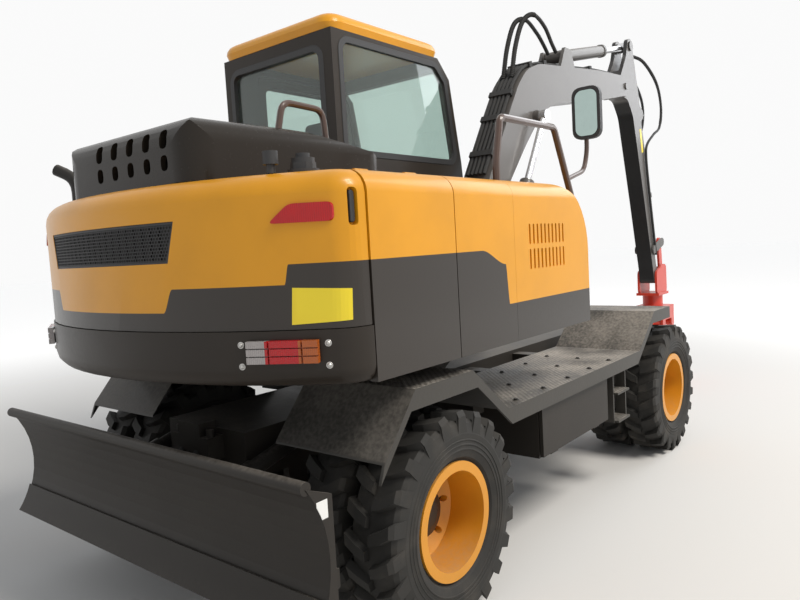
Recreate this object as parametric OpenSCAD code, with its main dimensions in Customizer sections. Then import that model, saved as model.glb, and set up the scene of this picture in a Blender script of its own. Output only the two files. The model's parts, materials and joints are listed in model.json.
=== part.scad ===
// Wheeled excavator with twin tyres, a rear blade, a hollow cab and a timber
// grapple on a one-piece boom. +X is forward, +Y is the machine's left, +Z up.
// The ground is z = 0. Inside placed() x is counted from the rear axle.

/* [Wheels and axles] */
// distance between the axles
wheel_base = 2650; // [2400:10:2900]
// outside diameter of a tyre over its lugs
tyre_d = 860; // [820:5:900]
// width of one tyre
tyre_w = 225; // [200:5:240]
// middle of the outer tyre from the machine's middle
outer_tyre_y = 905; // [880:5:920]
// distance between the two tyres of a pair
twin_pitch = 265; // [250:5:290]
// rim seat diameter
rim_d = 406; // [390:2:420]
// rim flange diameter
flange_d = 464; // [440:2:480]
// rim width over its flanges
rim_w = 192; // [170:2:200]
// spindle radius
spindle_r = 50; // [40:1:60]
// distance of a king pin from the middle
king_y = 430; // [410:5:450]
// king pin radius
king_r = 24; // [18:1:30]
// length of a steering arm
steer_arm = 170; // [150:5:190]
// depth of the tread lugs
lug_depth = 30; // [20:1:36]
// lugs round one side of a tyre
lug_count = 13; // [9:1:13]
// wheel nuts on a rim
nut_count = 10; // [6:1:10]
// holes in a rim's dish
hole_count = 8; // [5:1:8]

/* [Chassis] */
// half width of the chassis box
frame_half = 270; // [240:5:290]
// underside of the chassis box
frame_z0 = 585; // [575:5:620]
// top of the chassis box
frame_z1 = 790; // [760:5:820]
// top of the side platforms
deck_z = 780; // [740:5:820]
// outer edge of the platforms
deck_y = 1000; // [960:5:1010]
// top of the mudguards
guard_z = 995; // [960:5:1010]
// plate thickness of platforms and mudguards
deck_t = 12; // [8:1:16]
// depth of the turned-down edge
lip_h = 75; // [50:5:90]
// slew axis from the rear axle
slew_x = 905; // [850:5:950]
// radius of the slew bearing
slew_r = 390; // [340:10:420]

/* [Blade] */
// half width of the blade
blade_half = 1030; // [980:5:1060]
// rearmost line of the blade's edges
blade_x = -796; // [-850:2:-760]
// lower edge of the raised blade
blade_z0 = 329; // [280:1:380]
// upper edge of the raised blade
blade_z1 = 817; // [760:1:860]
// depth of the blade's curve
blade_sag = 82; // [50:1:100]
// blade plate thickness
blade_t = 14; // [10:1:20]
// thickness of the cutting edge
edge_t = 12; // [8:1:20]

/* [Upper body] */
// underside of the skirts
skirt_z = 1065; // [1050:5:1080]
// joint between counterweight and tail cover
band_z = 1258; // [1230:2:1290]
// top of the yellow covers
cover_z = 1770; // [1720:5:1820]
// half width of the upper body
body_half = 1020; // [980:5:1025]
// radius of the tail about the slew axis
tail_r = 1750; // [1700:10:1800]
// radius of the tail's corners
tail_corner = 130; // [100:5:160]
// second side seam
seam_2 = 62; // [20:2:100]
// third side seam
seam_3 = 508; // [460:2:560]
// front of the right housing
nose_x = 1270; // [1220:5:1320]
// radius of the upper side edges
edge_r = 80; // [60:2:100]
// thickness of a door or cover
panel_t = 35; // [25:1:45]
// gap round a door or lid
gap = 5; // [4:0.5:8]
// height of the hood over the covers
hood_h = 238; // [200:2:280]
// wall of the hood
hood_t = 22; // [15:1:40]

/* [Cab] */
// rear face of the cab
cab_x0 = 600; // [580:5:640]
// foremost face of the cab
cab_x1 = 1850; // [1800:5:1900]
// right face of the cab
cab_y0 = 82; // [80:2:110]
// left face of the cab
cab_y1 = 1000; // [960:5:1010]
// underside of the roof
roof_z = 2690; // [2640:5:2720]
// height of the roof
roof_h = 90; // [70:5:110]
// wall thickness of the cab
cab_t = 50; // [40:2:60]
// glass thickness
glass_t = 6; // [5:1:8]
// corner radius of windows and door
window_r = 60; // [30:5:90]

/* [Boom] */
// middle plane of boom and arm
boom_y = -170; // [-180:2:-160]
// boom width
boom_w = 200; // [180:2:220]
// arm width
arm_w = 140; // [120:2:146]
// boom cylinders from the middle plane
lift_y = 165; // [160:1:175]
// radius of a boom pin
pin_r = 28; // [22:1:34]
// radius of a lift cylinder
lift_r = 42; // [36:1:48]
// radius of the arm cylinder
crowd_r = 47; // [40:1:52]
// radius of the tool cylinder
tool_r = 38; // [32:1:44]
// share of a barrel's radius that its rod takes
rod_share = 0.55; // [0.45:0.01:0.65]

/* [Tool] */
// height of the rotator
rotator_h = 110; // [90:5:140]
// reach of a jaw below its pin
jaw_reach = 430; // [380:10:480]
// width of a jaw
jaw_w = 300; // [240:10:360]

/* [Fits] */
// gap beside and over seated pieces
seat = 0.3; // [0.2:0.05:0.5]
// radial clearance of a pin in its bore
run = 0.05; // [0.02:0.01:0.1]
// gap beside links and rod eyes
side_gap = 5; // [5:0.5:8]

/* [Hidden] */
axle_z = tyre_d / 2;
front_x = wheel_base;
tail_cx = slew_x;
tail_x = tail_cx - tail_r;
seam_1 = tail_cx - sqrt(pow(tail_r - tail_corner, 2) - pow(body_half - tail_corner, 2)) + 9;
hood_x = [tail_x + 145, 345];
hood_half = 455;
hood_z = [cover_z + gap, cover_z + hood_h];
side_box_x = [790, 1590];
side_box_z = [445, deck_z - deck_t - 70];
side_box_y = [600, 945];
deck_top = skirt_z + 65;
cab_z0 = deck_top + seat;
inner_tyre_y = outer_tyre_y - twin_pitch;
hub_y = outer_tyre_y - twin_pitch / 2;
boom_in = boom_y + boom_w / 2;
boom_out = boom_y - boom_w / 2;
foot = [1300, 1330];
lift_base = [1500, 1195];
well_x = lift_base[0] + 95;
deck_half = body_half - panel_t - gap;
lift_eye = [2200, 2330];
crowd_base = [2755, 2847];
tip = [3900, 2780];
crowd_eye = [4110, 3165];
tool_base = [4410, 2600];
rocker_pin = [4565, 1330];
link_pin = [4800, 1400];
tool_pin = [4640, 1060];
ear_pin = [4830, 1130];
blade_pin = [-130, 300];
blade_base = [-120, 740];
blade_eye = [-655, 600];
blade_cyl_y = 330;
blade_cyl_r = 34;
jaw_x = 4735;
jaw_pin = [130, 600];
jaw_out = 330;
gearbox_x = [1000, 1300];
shaft_r = 30;
shift_x = -(tail_cx - tail_r + jaw_x + jaw_out) / 2;

module placed() {
    translate([shift_x, 0, 0]) children();
}

// an outline in x and z, from y0 to y1
module slab(pts, y0, y1) {
    translate([0, y1, 0]) rotate([90, 0, 0]) linear_extrude(y1 - y0) polygon(pts);
}

// an outline in y and z, from x0 to x1
module bar(pts, x0, x1) {
    translate([x0, 0, 0]) rotate([90, 0, 90]) linear_extrude(x1 - x0) polygon(pts);
}

module box(p0, p1) {
    translate(p0) cube(p1 - p0);
}

// a round bar across the machine at p = [x, z]
module cross_pin(p, r, y0, y1) {
    translate([p[0], y1, p[1]]) rotate([90, 0, 0]) cylinder(r = r, h = y1 - y0, $fn = 40);
}

// a round bar between two [x, z] places, from share a to length b, at y
module link_bar(p, q, r, a, b, y) {
    d = q - p;
    translate([p[0], y, p[1]]) rotate([0, atan2(d[0], d[1]), 0]) translate([0, 0, a])
        cylinder(r = r, h = b - a, $fn = 40);
}

// hinges: two ends on the moving piece, a middle and a pin on the fixed one
module hinge_ends() for (z = [0, 46]) translate([0, 0, z]) cylinder(r = 12, h = 20, $fn = 32);
module hinge_bore() translate([0, 0, -1]) cylinder(r = 6 + run, h = 68, $fn = 32);
module hinge_middle() {
    translate([0, 0, 22]) cylinder(r = 12, h = 22, $fn = 32);
    cylinder(r = 6, h = 66, $fn = 32);
}
module hinge_room() for (z = [-2, 44]) translate([0, 0, z]) cylinder(r = 14, h = 24, $fn = 32);
module hinge_middle_room() translate([0, 0, 20]) cylinder(r = 14, h = 26, $fn = 32);
module hinge_at_x(x, p) translate([x, p[0], p[1]]) rotate([0, 90, 0]) children();
module hinge_at_y(y, p) translate([p[0], y, p[1]]) rotate([-90, 0, 0]) children();
module hinge_at_z(z, p) translate([p[0], p[1], z]) children();

function unit(v) = v / norm(v);
function arc(c, r, a0, a1, n) = [for (i = [0:n]) c + r * [cos(a0 + (a1 - a0) * i / n),
    sin(a0 + (a1 - a0) * i / n)]];
function len2(p, q) = norm(q - p);
function back(v) = [for (i = [len(v) - 1:-1:0]) v[i]];
function rect(x0, y0, x1, y1) = [[x0, y0], [x1, y0], [x1, y1], [x0, y1]];

// a closed outline whose corners are rounded, starting r before each of them
function soft(pts, r, n = 4) = let (m = len(pts)) [for (i = [0:m - 1])
    let (p = pts[i], a = pts[(i + m - 1) % m], c = pts[(i + 1) % m],
        u = p + min(r, 0.45 * norm(a - p)) * unit(a - p),
        v = p + min(r, 0.45 * norm(c - p)) * unit(c - p))
    each [for (k = [0:n]) let (t = k / n) (1 - t) * (1 - t) * u + 2 * t * (1 - t) * p + t * t * v]];

// corners of a path of [x, y, z] points turned into bends that start b before them
function bend(pts, b, n) = [for (i = [0:len(pts) - 1])
    if (i == 0 || i == len(pts) - 1) pts[i]
    else let (p = pts[i], a = p + b * unit(pts[i - 1] - p), c = p + b * unit(pts[i + 1] - p))
        each [for (k = [0:n]) let (t = k / n) (1 - t) * (1 - t) * a + 2 * t * (1 - t) * p + t * t * c]];

// a round tube along a path; up is a direction that the path never takes
module tube(path, r, up, sides = 10) {
    last = len(path) - 1;
    function dir(i) = i == 0 ? unit(path[1] - path[0])
        : i == last ? unit(path[last] - path[last - 1])
        : unit(unit(path[i] - path[i - 1]) + unit(path[i + 1] - path[i]));
    rings = [for (i = [0:last]) let (t = dir(i), u = unit(cross(up, t)), v = cross(t, u))
        each [for (k = [0:sides - 1]) path[i] + r * (cos(360 * k / sides) * u + sin(360 * k / sides) * v)]];
    faces = concat(
        [[for (k = [0:sides - 1]) k]],
        [[for (k = [sides - 1:-1:0]) last * sides + k]],
        [for (i = [0:last - 1]) for (k = [0:sides - 1])
            [i * sides + k, (i + 1) * sides + k, (i + 1) * sides + (k + 1) % sides,
                i * sides + (k + 1) % sides]]);
    polyhedron(rings, faces, convexity = 6);
}

// Undercarriage

// the frame, the slewing pedestal on it, and against its sides six outriggers, two cylinder feet and two tow eyes
module chassis_frame() {
    pad_z = axle_z + 72 + seat;
    outriggers = [[560, 760], [1200, side_box_y[0] - 1], [1790, 850]];
    color([0.2, 0.19, 0.18]) placed() {
        difference() {
            union() {
                box([-420, -frame_half, frame_z0], [front_x + 420, frame_half, frame_z1]);
                for (s = [-1, 1]) scale([1, s, 1]) {
                    for (x = [0, front_x]) box([x - 50, 150, pad_z], [x + 50, 250, frame_z0 + 1]);
                    box([-200, 232, 262], [-95, 268, frame_z0 + 1]);
                    translate([-470, 105, frame_z0 + 60]) cylinder(r = 16, h = 150, $fn = 24);
                }
                box([gearbox_x[0], -130, axle_z - 95], [gearbox_x[1], 130, frame_z0 + 1]);
                box([-500, -75, frame_z0 + 30], [-419, 75, frame_z1 + 30]);
                box([-500, -125, frame_z0 + 80], [-419, 125, frame_z0 + 180]);
            }
            for (s = [-1, 1]) cross_pin(blade_pin, pin_r - 6 + run, s * 250 - 20, s * 250 + 20);
        }
        for (s = [-1, 1]) scale([1, s, 1]) {
            box([-160, frame_half + seat, 700], [-80, blade_cyl_y - blade_cyl_r - side_gap, 780]);
            cross_pin(blade_base, 16, frame_half + seat, blade_cyl_y + blade_cyl_r);
            difference() {
                box([front_x + 420 + seat, 165, 610], [front_x + 500, 195, 730]);
                cross_pin([front_x + 460, 670], 25, 164, 196);
            }
        }
        difference() {
            translate([slew_x, 0, 0]) rotate_extrude($fn = 64) polygon([[0, frame_z1 + seat],
                [frame_half - 5, frame_z1 + seat],
                [slew_r, frame_z1 + 150], [slew_r, frame_z1 + 209], [0, frame_z1 + 209]]);
            translate([slew_x, 0, frame_z1 + 60]) cylinder(r = slew_r - 90 + run, h = 200, $fn = 64);
        }
        for (s = [-1, 1]) scale([1, s, 1]) for (v = outriggers)
            box([v[0] - 45, frame_half + seat, deck_z - deck_t - 70], [v[0] + 45, v[1], deck_z - deck_t]);
    }
}

function guard_line(d) = [[-400 - 0.4 * d, deck_z - d], [-215 - 0.4 * d, guard_z - d],
    [165 + 0.4 * d, guard_z - d],
    [430 + 0.4 * d, deck_z - d], [front_x - 620 - 0.4 * d, deck_z - d], [front_x - 340 - 0.4 * d, guard_z - d],
    [front_x - 30, guard_z - d]];

module side_platforms() {
    top = guard_line(0);
    low = guard_line(deck_t);
    lip = guard_line(lip_h);
    color([0.24, 0.23, 0.22]) placed() for (s = [-1, 1]) scale([1, s, 1]) {
        union() {
            slab(concat(top, back(low)), frame_half + 170, deck_y);
            slab(concat(top, back(lip)), deck_y - deck_t, deck_y);
        }
    }
}

toolbox_hinge = [-side_box_y[1] - side_gap / 2, side_box_z[0] + 4];
toolbox_hinges_x = [900, 1410];

module side_boxes() {
    color([0.22, 0.21, 0.2]) placed() {
        box([side_box_x[0], side_box_y[0], side_box_z[0]], [side_box_x[1], side_box_y[1], deck_z - deck_t]);
        difference() {
            box([side_box_x[0], -side_box_y[1], side_box_z[0]],
                [side_box_x[1], -side_box_y[0], deck_z - deck_t]);
            box([side_box_x[0] + 20, -side_box_y[1] - 1, side_box_z[0] + 20],
                [side_box_x[1] - 20, -side_box_y[0] - 20, deck_z - deck_t - 40]);
            for (x = toolbox_hinges_x) hinge_at_x(x, toolbox_hinge) hinge_room();
        }
        for (x = toolbox_hinges_x) hinge_at_x(x, toolbox_hinge) hinge_middle();
    }
}

module toolbox_door() {
    color([0.24, 0.23, 0.22]) placed() difference() {
        union() {
            difference() {
                box([side_box_x[0] + 4, -side_box_y[1] - 23, side_box_z[0] + 8],
                    [side_box_x[1] - 4, -side_box_y[1] - side_gap, side_box_z[1] + 20]);
                for (x = toolbox_hinges_x) hinge_at_x(x, toolbox_hinge) hinge_middle_room();
            }
            for (x = toolbox_hinges_x) hinge_at_x(x, toolbox_hinge) hinge_ends();
        }
        for (x = toolbox_hinges_x) hinge_at_x(x, toolbox_hinge) hinge_bore();
    }
}

module steps() {
    color([0.22, 0.21, 0.2]) placed() for (s = [-1, 1]) scale([1, s, 1]) {
        for (x = [1690, 1875]) box([x, 900, 405], [x + 12, 960, deck_z - deck_t]);
        for (z = [405, 570]) box([1701, 860, z], [1876, 985, z + 12]);
    }
}

module axle_shape(x, reach) {
    translate([x, 0, axle_z]) {
        rotate([90, 0, 0]) cylinder(r = 72, h = 2 * reach, center = true, $fn = 48);
        rotate([90, 0, 0]) cylinder(r = 135, h = 180, center = true, $fn = 48);
    }
}

module rear_axle() {
    color([0.16, 0.16, 0.16]) placed() {
        axle_shape(0, inner_tyre_y - 150);
        translate([0, 0, axle_z]) rotate([90, 0, 0])
            cylinder(r = spindle_r, h = 2 * (hub_y + 60), center = true, $fn = 48);
        translate([130, 0, axle_z]) rotate([0, 90, 0]) cylinder(r = shaft_r, h = gearbox_x[0] - seat - 130,
            $fn = 32);
    }
}

module front_axle() {
    color([0.16, 0.16, 0.16]) placed() {
        difference() {
            union() {
                axle_shape(front_x, king_y - 60);
                for (s = [-1, 1]) scale([1, s, 1]) {
                    box([front_x - 50, king_y - 80, axle_z - 95], [front_x + 50, king_y - 50, axle_z + 95]);
                    for (z = [-95, 65]) box([front_x - 50, king_y - 51, axle_z + z],
                        [front_x + 50, king_y + 45, axle_z + z + 30]);
                }
                box([front_x - steer_arm - 20, -100, axle_z + 66], [front_x, -60, axle_z + 90]);
                box([front_x - steer_arm - 20, 60, axle_z + 66], [front_x, 100, axle_z + 90]);
                translate([front_x - steer_arm, 0, axle_z + 110]) rotate([90, 0, 0])
                    cylinder(r = 32, h = 260, center = true, $fn = 40);
                translate([gearbox_x[1] + seat, 0, axle_z]) rotate([0, 90, 0])
                    cylinder(r = shaft_r, h = front_x - 130 - gearbox_x[1] - seat, $fn = 32);
            }
            for (s = [-1, 1]) translate([front_x, s * king_y, axle_z - 100]) cylinder(r = king_r + run,
                h = 200, $fn = 40);
            translate([front_x - steer_arm, 0, axle_z + 110]) rotate([90, 0, 0])
                cylinder(r = 14 + run, h = 300, center = true, $fn = 40);
        }
    }
}

module knuckle(s) {
    color([0.16, 0.16, 0.16]) placed() scale([1, s, 1]) union() {
        translate([front_x, king_y, axle_z - 65 + side_gap]) cylinder(r = 45, h = 130 - 2 * side_gap, $fn = 40);
        translate([front_x, king_y, axle_z - 95]) cylinder(r = king_r, h = 190, $fn = 40);
        translate([front_x, king_y, axle_z]) rotate([-90, 0, 0]) cylinder(r = spindle_r,
            h = hub_y + 60 - king_y, $fn = 48);
        box([front_x - steer_arm - 20, king_y - 14, axle_z + 30], [front_x - 20, king_y + 14, axle_z + 55]);
        translate([front_x - steer_arm, king_y, axle_z + 30]) cylinder(r = 28, h = 50, $fn = 32);
    }
}

module tie_rod() {
    color([0.7, 0.7, 0.7]) placed() union() {
        translate([front_x - steer_arm, 0, axle_z + 110]) rotate([90, 0, 0])
            cylinder(r = 14, h = 2 * king_y, center = true, $fn = 40);
        for (s = [-1, 1]) translate([front_x - steer_arm, s * king_y, axle_z + 86]) cylinder(r = 26, h = 44,
            $fn = 32);
    }
}

// rows across a tyre: distance from its middle, radius in a valley and on a lug, turn and place in steps of the tread
function tyre_rows() = let (h = tyre_w / 2, r = tyre_d / 2, w = rim_w / 2 - 14, low = r - lug_depth,
        b = (rim_d / 2 + seat) / cos(45 / lug_count), f = (flange_d / 2 + 6) / cos(45 / lug_count))
    [[-w, b, b, 0, 0], [-w, f, f, 0, 0], [-h, r - 95, r - 95, 1, 0], [10 - h, low - 12, r - 12, 2, 0],
        [0, r, r, 0, 0], [h - 10, low - 12, r - 12, 2, 2], [h, r - 95, r - 95, 1, 0], [w, f, f, 0, 0],
        [w, b, b, 0, 0]];

// one tyre, middle at y, with slanted lugs on both shoulders, half a pitch apart
module tyre(y) {
    rows = tyre_rows();
    n = 4 * lug_count;
    m = len(rows);
    rings = [for (v = rows) for (i = [0:n - 1]) let (t = (i + v[3]) * 360 / n,
        r = (i + v[4]) % 4 < 2 ? v[2] : v[1])
        [r * sin(t), y + v[0], r * cos(t)]];
    polyhedron(rings, [for (j = [0:m - 1]) for (i = [0:n - 1])
        let (a = j * n + i, b = j * n + (i + 1) % n, c = (j + 1) % m * n + (i + 1) % n, d = (j + 1) % m * n + i)
        each [[a, b, c], [a, c, d]]], convexity = 8);
}

module tyres(x, s) {
    color([0.06, 0.06, 0.06]) placed() translate([x, 0, axle_z])
        for (y = [inner_tyre_y, outer_tyre_y]) tyre(s * y);
}

// barrel and disc of one rim, disc toward the middle of the pair
function rim_line(y, d) = [[rim_d / 2 - 9, y + d * (rim_w / 2)], [flange_d / 2, y + d * (rim_w / 2)],
    [flange_d / 2, y + d * (rim_w / 2 - 13)], [rim_d / 2, y + d * (rim_w / 2 - 13)],
    [rim_d / 2, y - d * (rim_w / 2 - 13)], [flange_d / 2, y - d * (rim_w / 2 - 13)],
    [flange_d / 2, y - d * (rim_w / 2)], [150, hub_y + d * 8], [spindle_r + 20, hub_y + d * 8],
    [spindle_r + 20, hub_y + d * 20], [140, hub_y + d * 20], [rim_d / 2 - 9, y - d * (rim_w / 2 - 26)]];

nut_ring = 118;
hole_ring = 168;

module rims(x, s) {
    color([0.9, 0.55, 0.08]) placed() translate([x, 0, axle_z]) scale([1, s, 1]) rotate([-90, 0,
        0]) difference() {
        union() {
            for (v = [[outer_tyre_y, 1], [inner_tyre_y, -1]]) rotate_extrude($fn = 48) polygon(rim_line(v[0],
                v[1]));
            rotate_extrude($fn = 48) polygon([[spindle_r + run, hub_y - 60], [110, hub_y - 60],
                [150, hub_y - 9],
                [150, hub_y + 9], [95, hub_y + 9], [95, hub_y + 80], [60, hub_y + 90], [0, hub_y + 90],
                    [0, hub_y + 61],
                [spindle_r + run, hub_y + 61]]);
            for (k = [1:nut_count]) rotate([0, 0, 360 * k / nut_count]) translate([nut_ring, 0, hub_y + 19])
                cylinder(r = 13, h = 22, $fn = 6);
        }
        for (k = [1:hole_count]) rotate([0, 0, 360 * k / hole_count]) translate([hole_ring, 0, hub_y - 70])
            cylinder(r = 14, h = 140, $fn = 24);
    }
}

// Blade

// an arc of the blade's section, d in front of its face, from share s0 to share s1 of its half height
function blade_arc(d, s0 = -1, s1 = 1, n = 10) =
    let (h = (blade_z1 - blade_z0) / 2, r = (h * h + blade_sag * blade_sag) / (2 * blade_sag),
        c = [blade_x + blade_sag - r, (blade_z0 + blade_z1) / 2], a = asin(h / r))
    arc(c, r + d, s0 * a, s1 * a, n);

module blade() {
    deep = blade_x + blade_sag + blade_t;
    mid = (blade_z0 + blade_z1) / 2;
    tall = (blade_z1 - blade_z0) / 2;
    rib_y = 0.6 * blade_half;
    color([0.2, 0.19, 0.18]) placed() union() {
        slab(concat(blade_arc(0, -0.94), back(blade_arc(blade_t, -0.94))), 5 - blade_half, blade_half - 5);
        slab(concat(blade_arc(-edge_t, -1, -0.5, 4), back(blade_arc(2, -1, -0.5, 4))), 4 - blade_half,
            blade_half - 4);
        cross_pin([blade_x + 4, blade_z1], 21, 3 - blade_half, blade_half - 3);
        slab(concat(blade_arc(blade_t - 2, -0.55, -0.2, 3),
            [[deep + 50, mid - 0.25 * tall], [deep + 50, mid - 0.5 * tall]]),
            30 - blade_half, blade_half - 30);
        for (s = [-1, 1]) scale([1, s, 1]) {
            slab(concat(blade_arc(0, -1, 0.99), [[deep + 10, blade_z1 - 45], [deep + 10, blade_z0 + 45]]),
                blade_half - 14, blade_half);
            slab(concat(blade_arc(blade_t - 2, -0.85, 0.75, 6),
                [[deep + 60, mid + 0.4 * tall], [deep + 60, mid - 0.5 * tall]]),
                rib_y - 7, rib_y + 7);
            slab([[blade_pin[0] - 40, blade_pin[1] - 40], [blade_pin[0] + 40, blade_pin[1] - 40],
                [blade_pin[0] + 40, blade_pin[1] + 40], [blade_pin[0] - 40, blade_pin[1] + 40],
                [blade_x + blade_sag + 10, mid - 0.2 * tall], [blade_x + 44, blade_z0 + 58]], 187, 223);
            cross_pin(blade_pin, pin_r - 6, 205, 268);
            slab([[blade_x + blade_sag, blade_eye[1] - 60], [blade_eye[0] + 30, blade_eye[1] - 30],
                [blade_eye[0] + 30, blade_eye[1] + 30], [blade_x + blade_sag, blade_eye[1] + 60]],
                blade_cyl_y - 46, blade_cyl_y - 30);
        }
    }
}

module cyl_barrel(p, q, r, length, y, eye_w) {
    union() {
        link_bar(p, q, r, r * 0.8, length, y);
        link_bar(p, q, r + 6, length - 40, length, y);
        cross_pin(p, r * 0.95, y - eye_w / 2, y + eye_w / 2);
    }
}

// a rod whose hidden end can go in by stroke before it meets the bore's end
module cyl_rod(p, q, r, stroke, y, eye_w) {
    rod = r * rod_share;
    union() {
        link_bar(p, q, rod, r * 2 + stroke + side_gap, len2(p, q) - r * 0.6, y);
        cross_pin(q, r * 0.95, y - eye_w / 2, y + eye_w / 2);
    }
}

// the barrel's bore, a little wider than the rod, open at the barrel's end
module rod_bore(p, q, r, length, y) {
    link_bar(p, q, r * rod_share + run, r * 2, length + 2, y);
}

module blade_barrels() {
    color([0.28, 0.27, 0.26]) placed() for (s = [-1, 1]) difference() {
        cyl_barrel(blade_base, blade_eye, blade_cyl_r, 370, s * blade_cyl_y, 2 * blade_cyl_r);
        cross_pin(blade_base, 16 + run, s * blade_cyl_y - 40, s * blade_cyl_y + 40);
        rod_bore(blade_base, blade_eye, blade_cyl_r, 370, s * blade_cyl_y);
    }
}

module blade_rods() {
    color([0.8, 0.8, 0.8]) placed() for (s = [-1, 1])
        cyl_rod(blade_base, blade_eye, blade_cyl_r, 45, s * blade_cyl_y, 50);
}

// Upper body

function tail_line(inset, x_front) =
    let (w = body_half - inset, r = tail_r - inset, corner = tail_corner - 0.85 * inset, yc = w - corner,
        xc = tail_cx - sqrt((r - corner) * (r - corner) - yc * yc), a = asin(yc / (r - corner)))
    concat([[x_front, w]], arc([xc, yc], corner, 90, 180 - a, 6), arc([tail_cx, 0], r, 180 - a, 180 + a, 16),
        arc([xc, -yc], corner, 180 + a, 270, 6), [[x_front, -w]]);

// x of the tail's face at y, inset from its outside
function tail_face(y, inset) = tail_cx - sqrt(pow(tail_r - inset, 2) - y * y);

module upper_frame() {
    ear = 30;
    color([0.2, 0.19, 0.18]) placed() {
        difference() {
            union() {
                box([seam_1 + seat, -deck_half, skirt_z + 10], [nose_x - 10, deck_half, deck_top]);
                box([nose_x - 11, -400, skirt_z + 10], [well_x, 70, deck_top]);
                box([nose_x - 11, 60, skirt_z + 10], [cab_x1 - 10, cab_y1 - 20, deck_top]);
                translate([slew_x, 0, frame_z1 + 214]) cylinder(r = slew_r - 20,
                    h = skirt_z - frame_z1 - 203, $fn = 64);
                translate([slew_x, 0, frame_z1 + 90]) cylinder(r = slew_r - 90, h = 130, $fn = 64);
                box([seam_3 + 2, -380, deck_top - 1], [seam_3 + 22, cab_y0 - 10, cover_z - panel_t]);
                for (y = [boom_out - side_gap - ear, boom_in + side_gap]) slab([[seam_3 + 20, deck_top - 5],
                    [seam_3 + 20, 1500], [foot[0] + 10, foot[1] + 62], [foot[0] + 62, foot[1] + 10],
                    [foot[0] + 62, deck_top - 5]], y, y + ear);
                for (y = [boom_y - lift_y - lift_r - side_gap - 18, boom_y + lift_y + lift_r + side_gap])
                    slab([[lift_base[0] - 90, deck_top - 5], [lift_base[0] - 45, lift_base[1] + 45],
                        [lift_base[0] + 45, lift_base[1] + 45], [lift_base[0] + 90, deck_top - 5]], y, y + 18);
            }
            cross_pin(foot, pin_r + run, boom_out - 40, boom_in + 40);
        }
        for (s = [-1, 1]) cross_pin(lift_base, 20, boom_y + s * (lift_y + 3) - lift_r - 3,
            boom_y + s * (lift_y + 3) + lift_r + 3);
    }
}

module counterweight() {
    foot_r = 60;
    color([0.2, 0.19, 0.18]) placed() hull() {
        for (k = [0:3]) translate([0, 0, skirt_z + foot_r * (1 - cos(30 * k))]) linear_extrude(0.1)
            polygon(tail_line(foot_r * (1 - sin(30 * k)) * 0.9, seam_1));
        translate([0, 0, band_z - 3]) linear_extrude(0.1) polygon(tail_line(0, seam_1));
    }
}

module tail_cover() {
    color([0.9, 0.6, 0.15]) placed() difference() {
        hull() {
            translate([0, 0, band_z]) linear_extrude(0.1) polygon(tail_line(6, seam_1));
            for (k = [0:5]) translate([0, 0, cover_z - edge_r * (1 - sin(18 * k))]) linear_extrude(0.1)
                polygon(tail_line(6 + edge_r * (1 - cos(18 * k)), seam_1));
        }
        tail_insert(0, 0, 40);
        for (s = [-1, 1]) scale([1, s, 1]) slab(soft(rect(seam_1 - 68, band_z + 325, seam_1 - 34,
            band_z + 447), 16),
            body_half - 35, body_half + 10);
    }
}

// a band behind the tail's skin, cut to the grille's trapezoid
module tail_insert(shrink, r_in, r_out) {
    intersection() {
        bar([[shrink - 445, band_z + 376 - shrink], [445 - shrink, band_z + 376 - shrink],
            [408 - shrink, band_z + 235 + shrink], [shrink - 408, band_z + 235 + shrink]], tail_x - 60,
            tail_x + 345);
        translate([tail_cx, 0, band_z + 142]) difference() {
            cylinder(r = tail_r + r_out, h = 300, $fn = 180);
            translate([0, 0, -1]) cylinder(r = tail_r - 34 + r_in, h = 302, $fn = 180);
        }
    }
}

module tail_grille() {
    color([0.05, 0.05, 0.05]) placed() difference() {
        tail_insert(seat, seat, -14);
        for (k = [-9:9]) box([tail_x - 10, 42 * k - 11, band_z + 245],
            [tail_face(42 * k, 14) + 8, 42 * k + 11, band_z + 364]);
    }
}

// lamp clusters on the counterweight, three rows of three lenses, and reflectors on the cover
module tail_lamps() {
    lens_z = [1152, 1178, 1204];
    lens_y = [[-122, -72], [-66, 42], [48, 122]];
    // the counterweight's facets lie this far inside the true arc
    sag = 0.7;
    color([0.7, 0.1, 0.08]) placed() for (s = [-1, 1]) scale([1, s, 1]) {
        translate([tail_cx, 0, 0]) rotate([0, 0, 27.5]) translate([sag - tail_r, 0, 0]) {
            box([-12, -122, lens_z[0]], [-seat, 122, lens_z[2] + 22]);
            for (z = lens_z) for (y = lens_y) box([-24, y[0], z], [-11, y[1], z + 22]);
        }
        intersection() {
            bar(soft([[-972, 1600], [-972, 1661], [-850, 1662], [-786, 1602]], 18), tail_x, tail_x + 400);
            translate([tail_cx, 0, band_z + 330]) difference() {
                cylinder(r = tail_r + 1, h = 85, $fn = 180);
                translate([0, 0, -1]) cylinder(r = tail_r - 6 + seat, h = 87, $fn = 180);
            }
        }
    }
}

// section of a side panel in y and z: straight side, round edge and lip on top
function side_line(t) = let (w = body_half, c = [-w + edge_r, cover_z - edge_r]) concat(
    [[-w, skirt_z]], arc(c, edge_r, 180, 90, 8), [[-w + edge_r + 40, cover_z], [-w + edge_r + 40, cover_z - t]],
    arc(c, edge_r - t, 90, 180, 8), [[-w + t, skirt_z]]);

lid_hinge = [body_half - edge_r - 40 - gap / 2, cover_z];
right_hinges_x = [seam_1 + 80, seam_2 - 147];
left_hinges_x = [seam_1 + 80, cab_x0 - 150];
hood_hinge = [hood_x[1] + 2, cover_z + gap / 2];
hood_hinges_y = [-330, 264];

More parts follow.
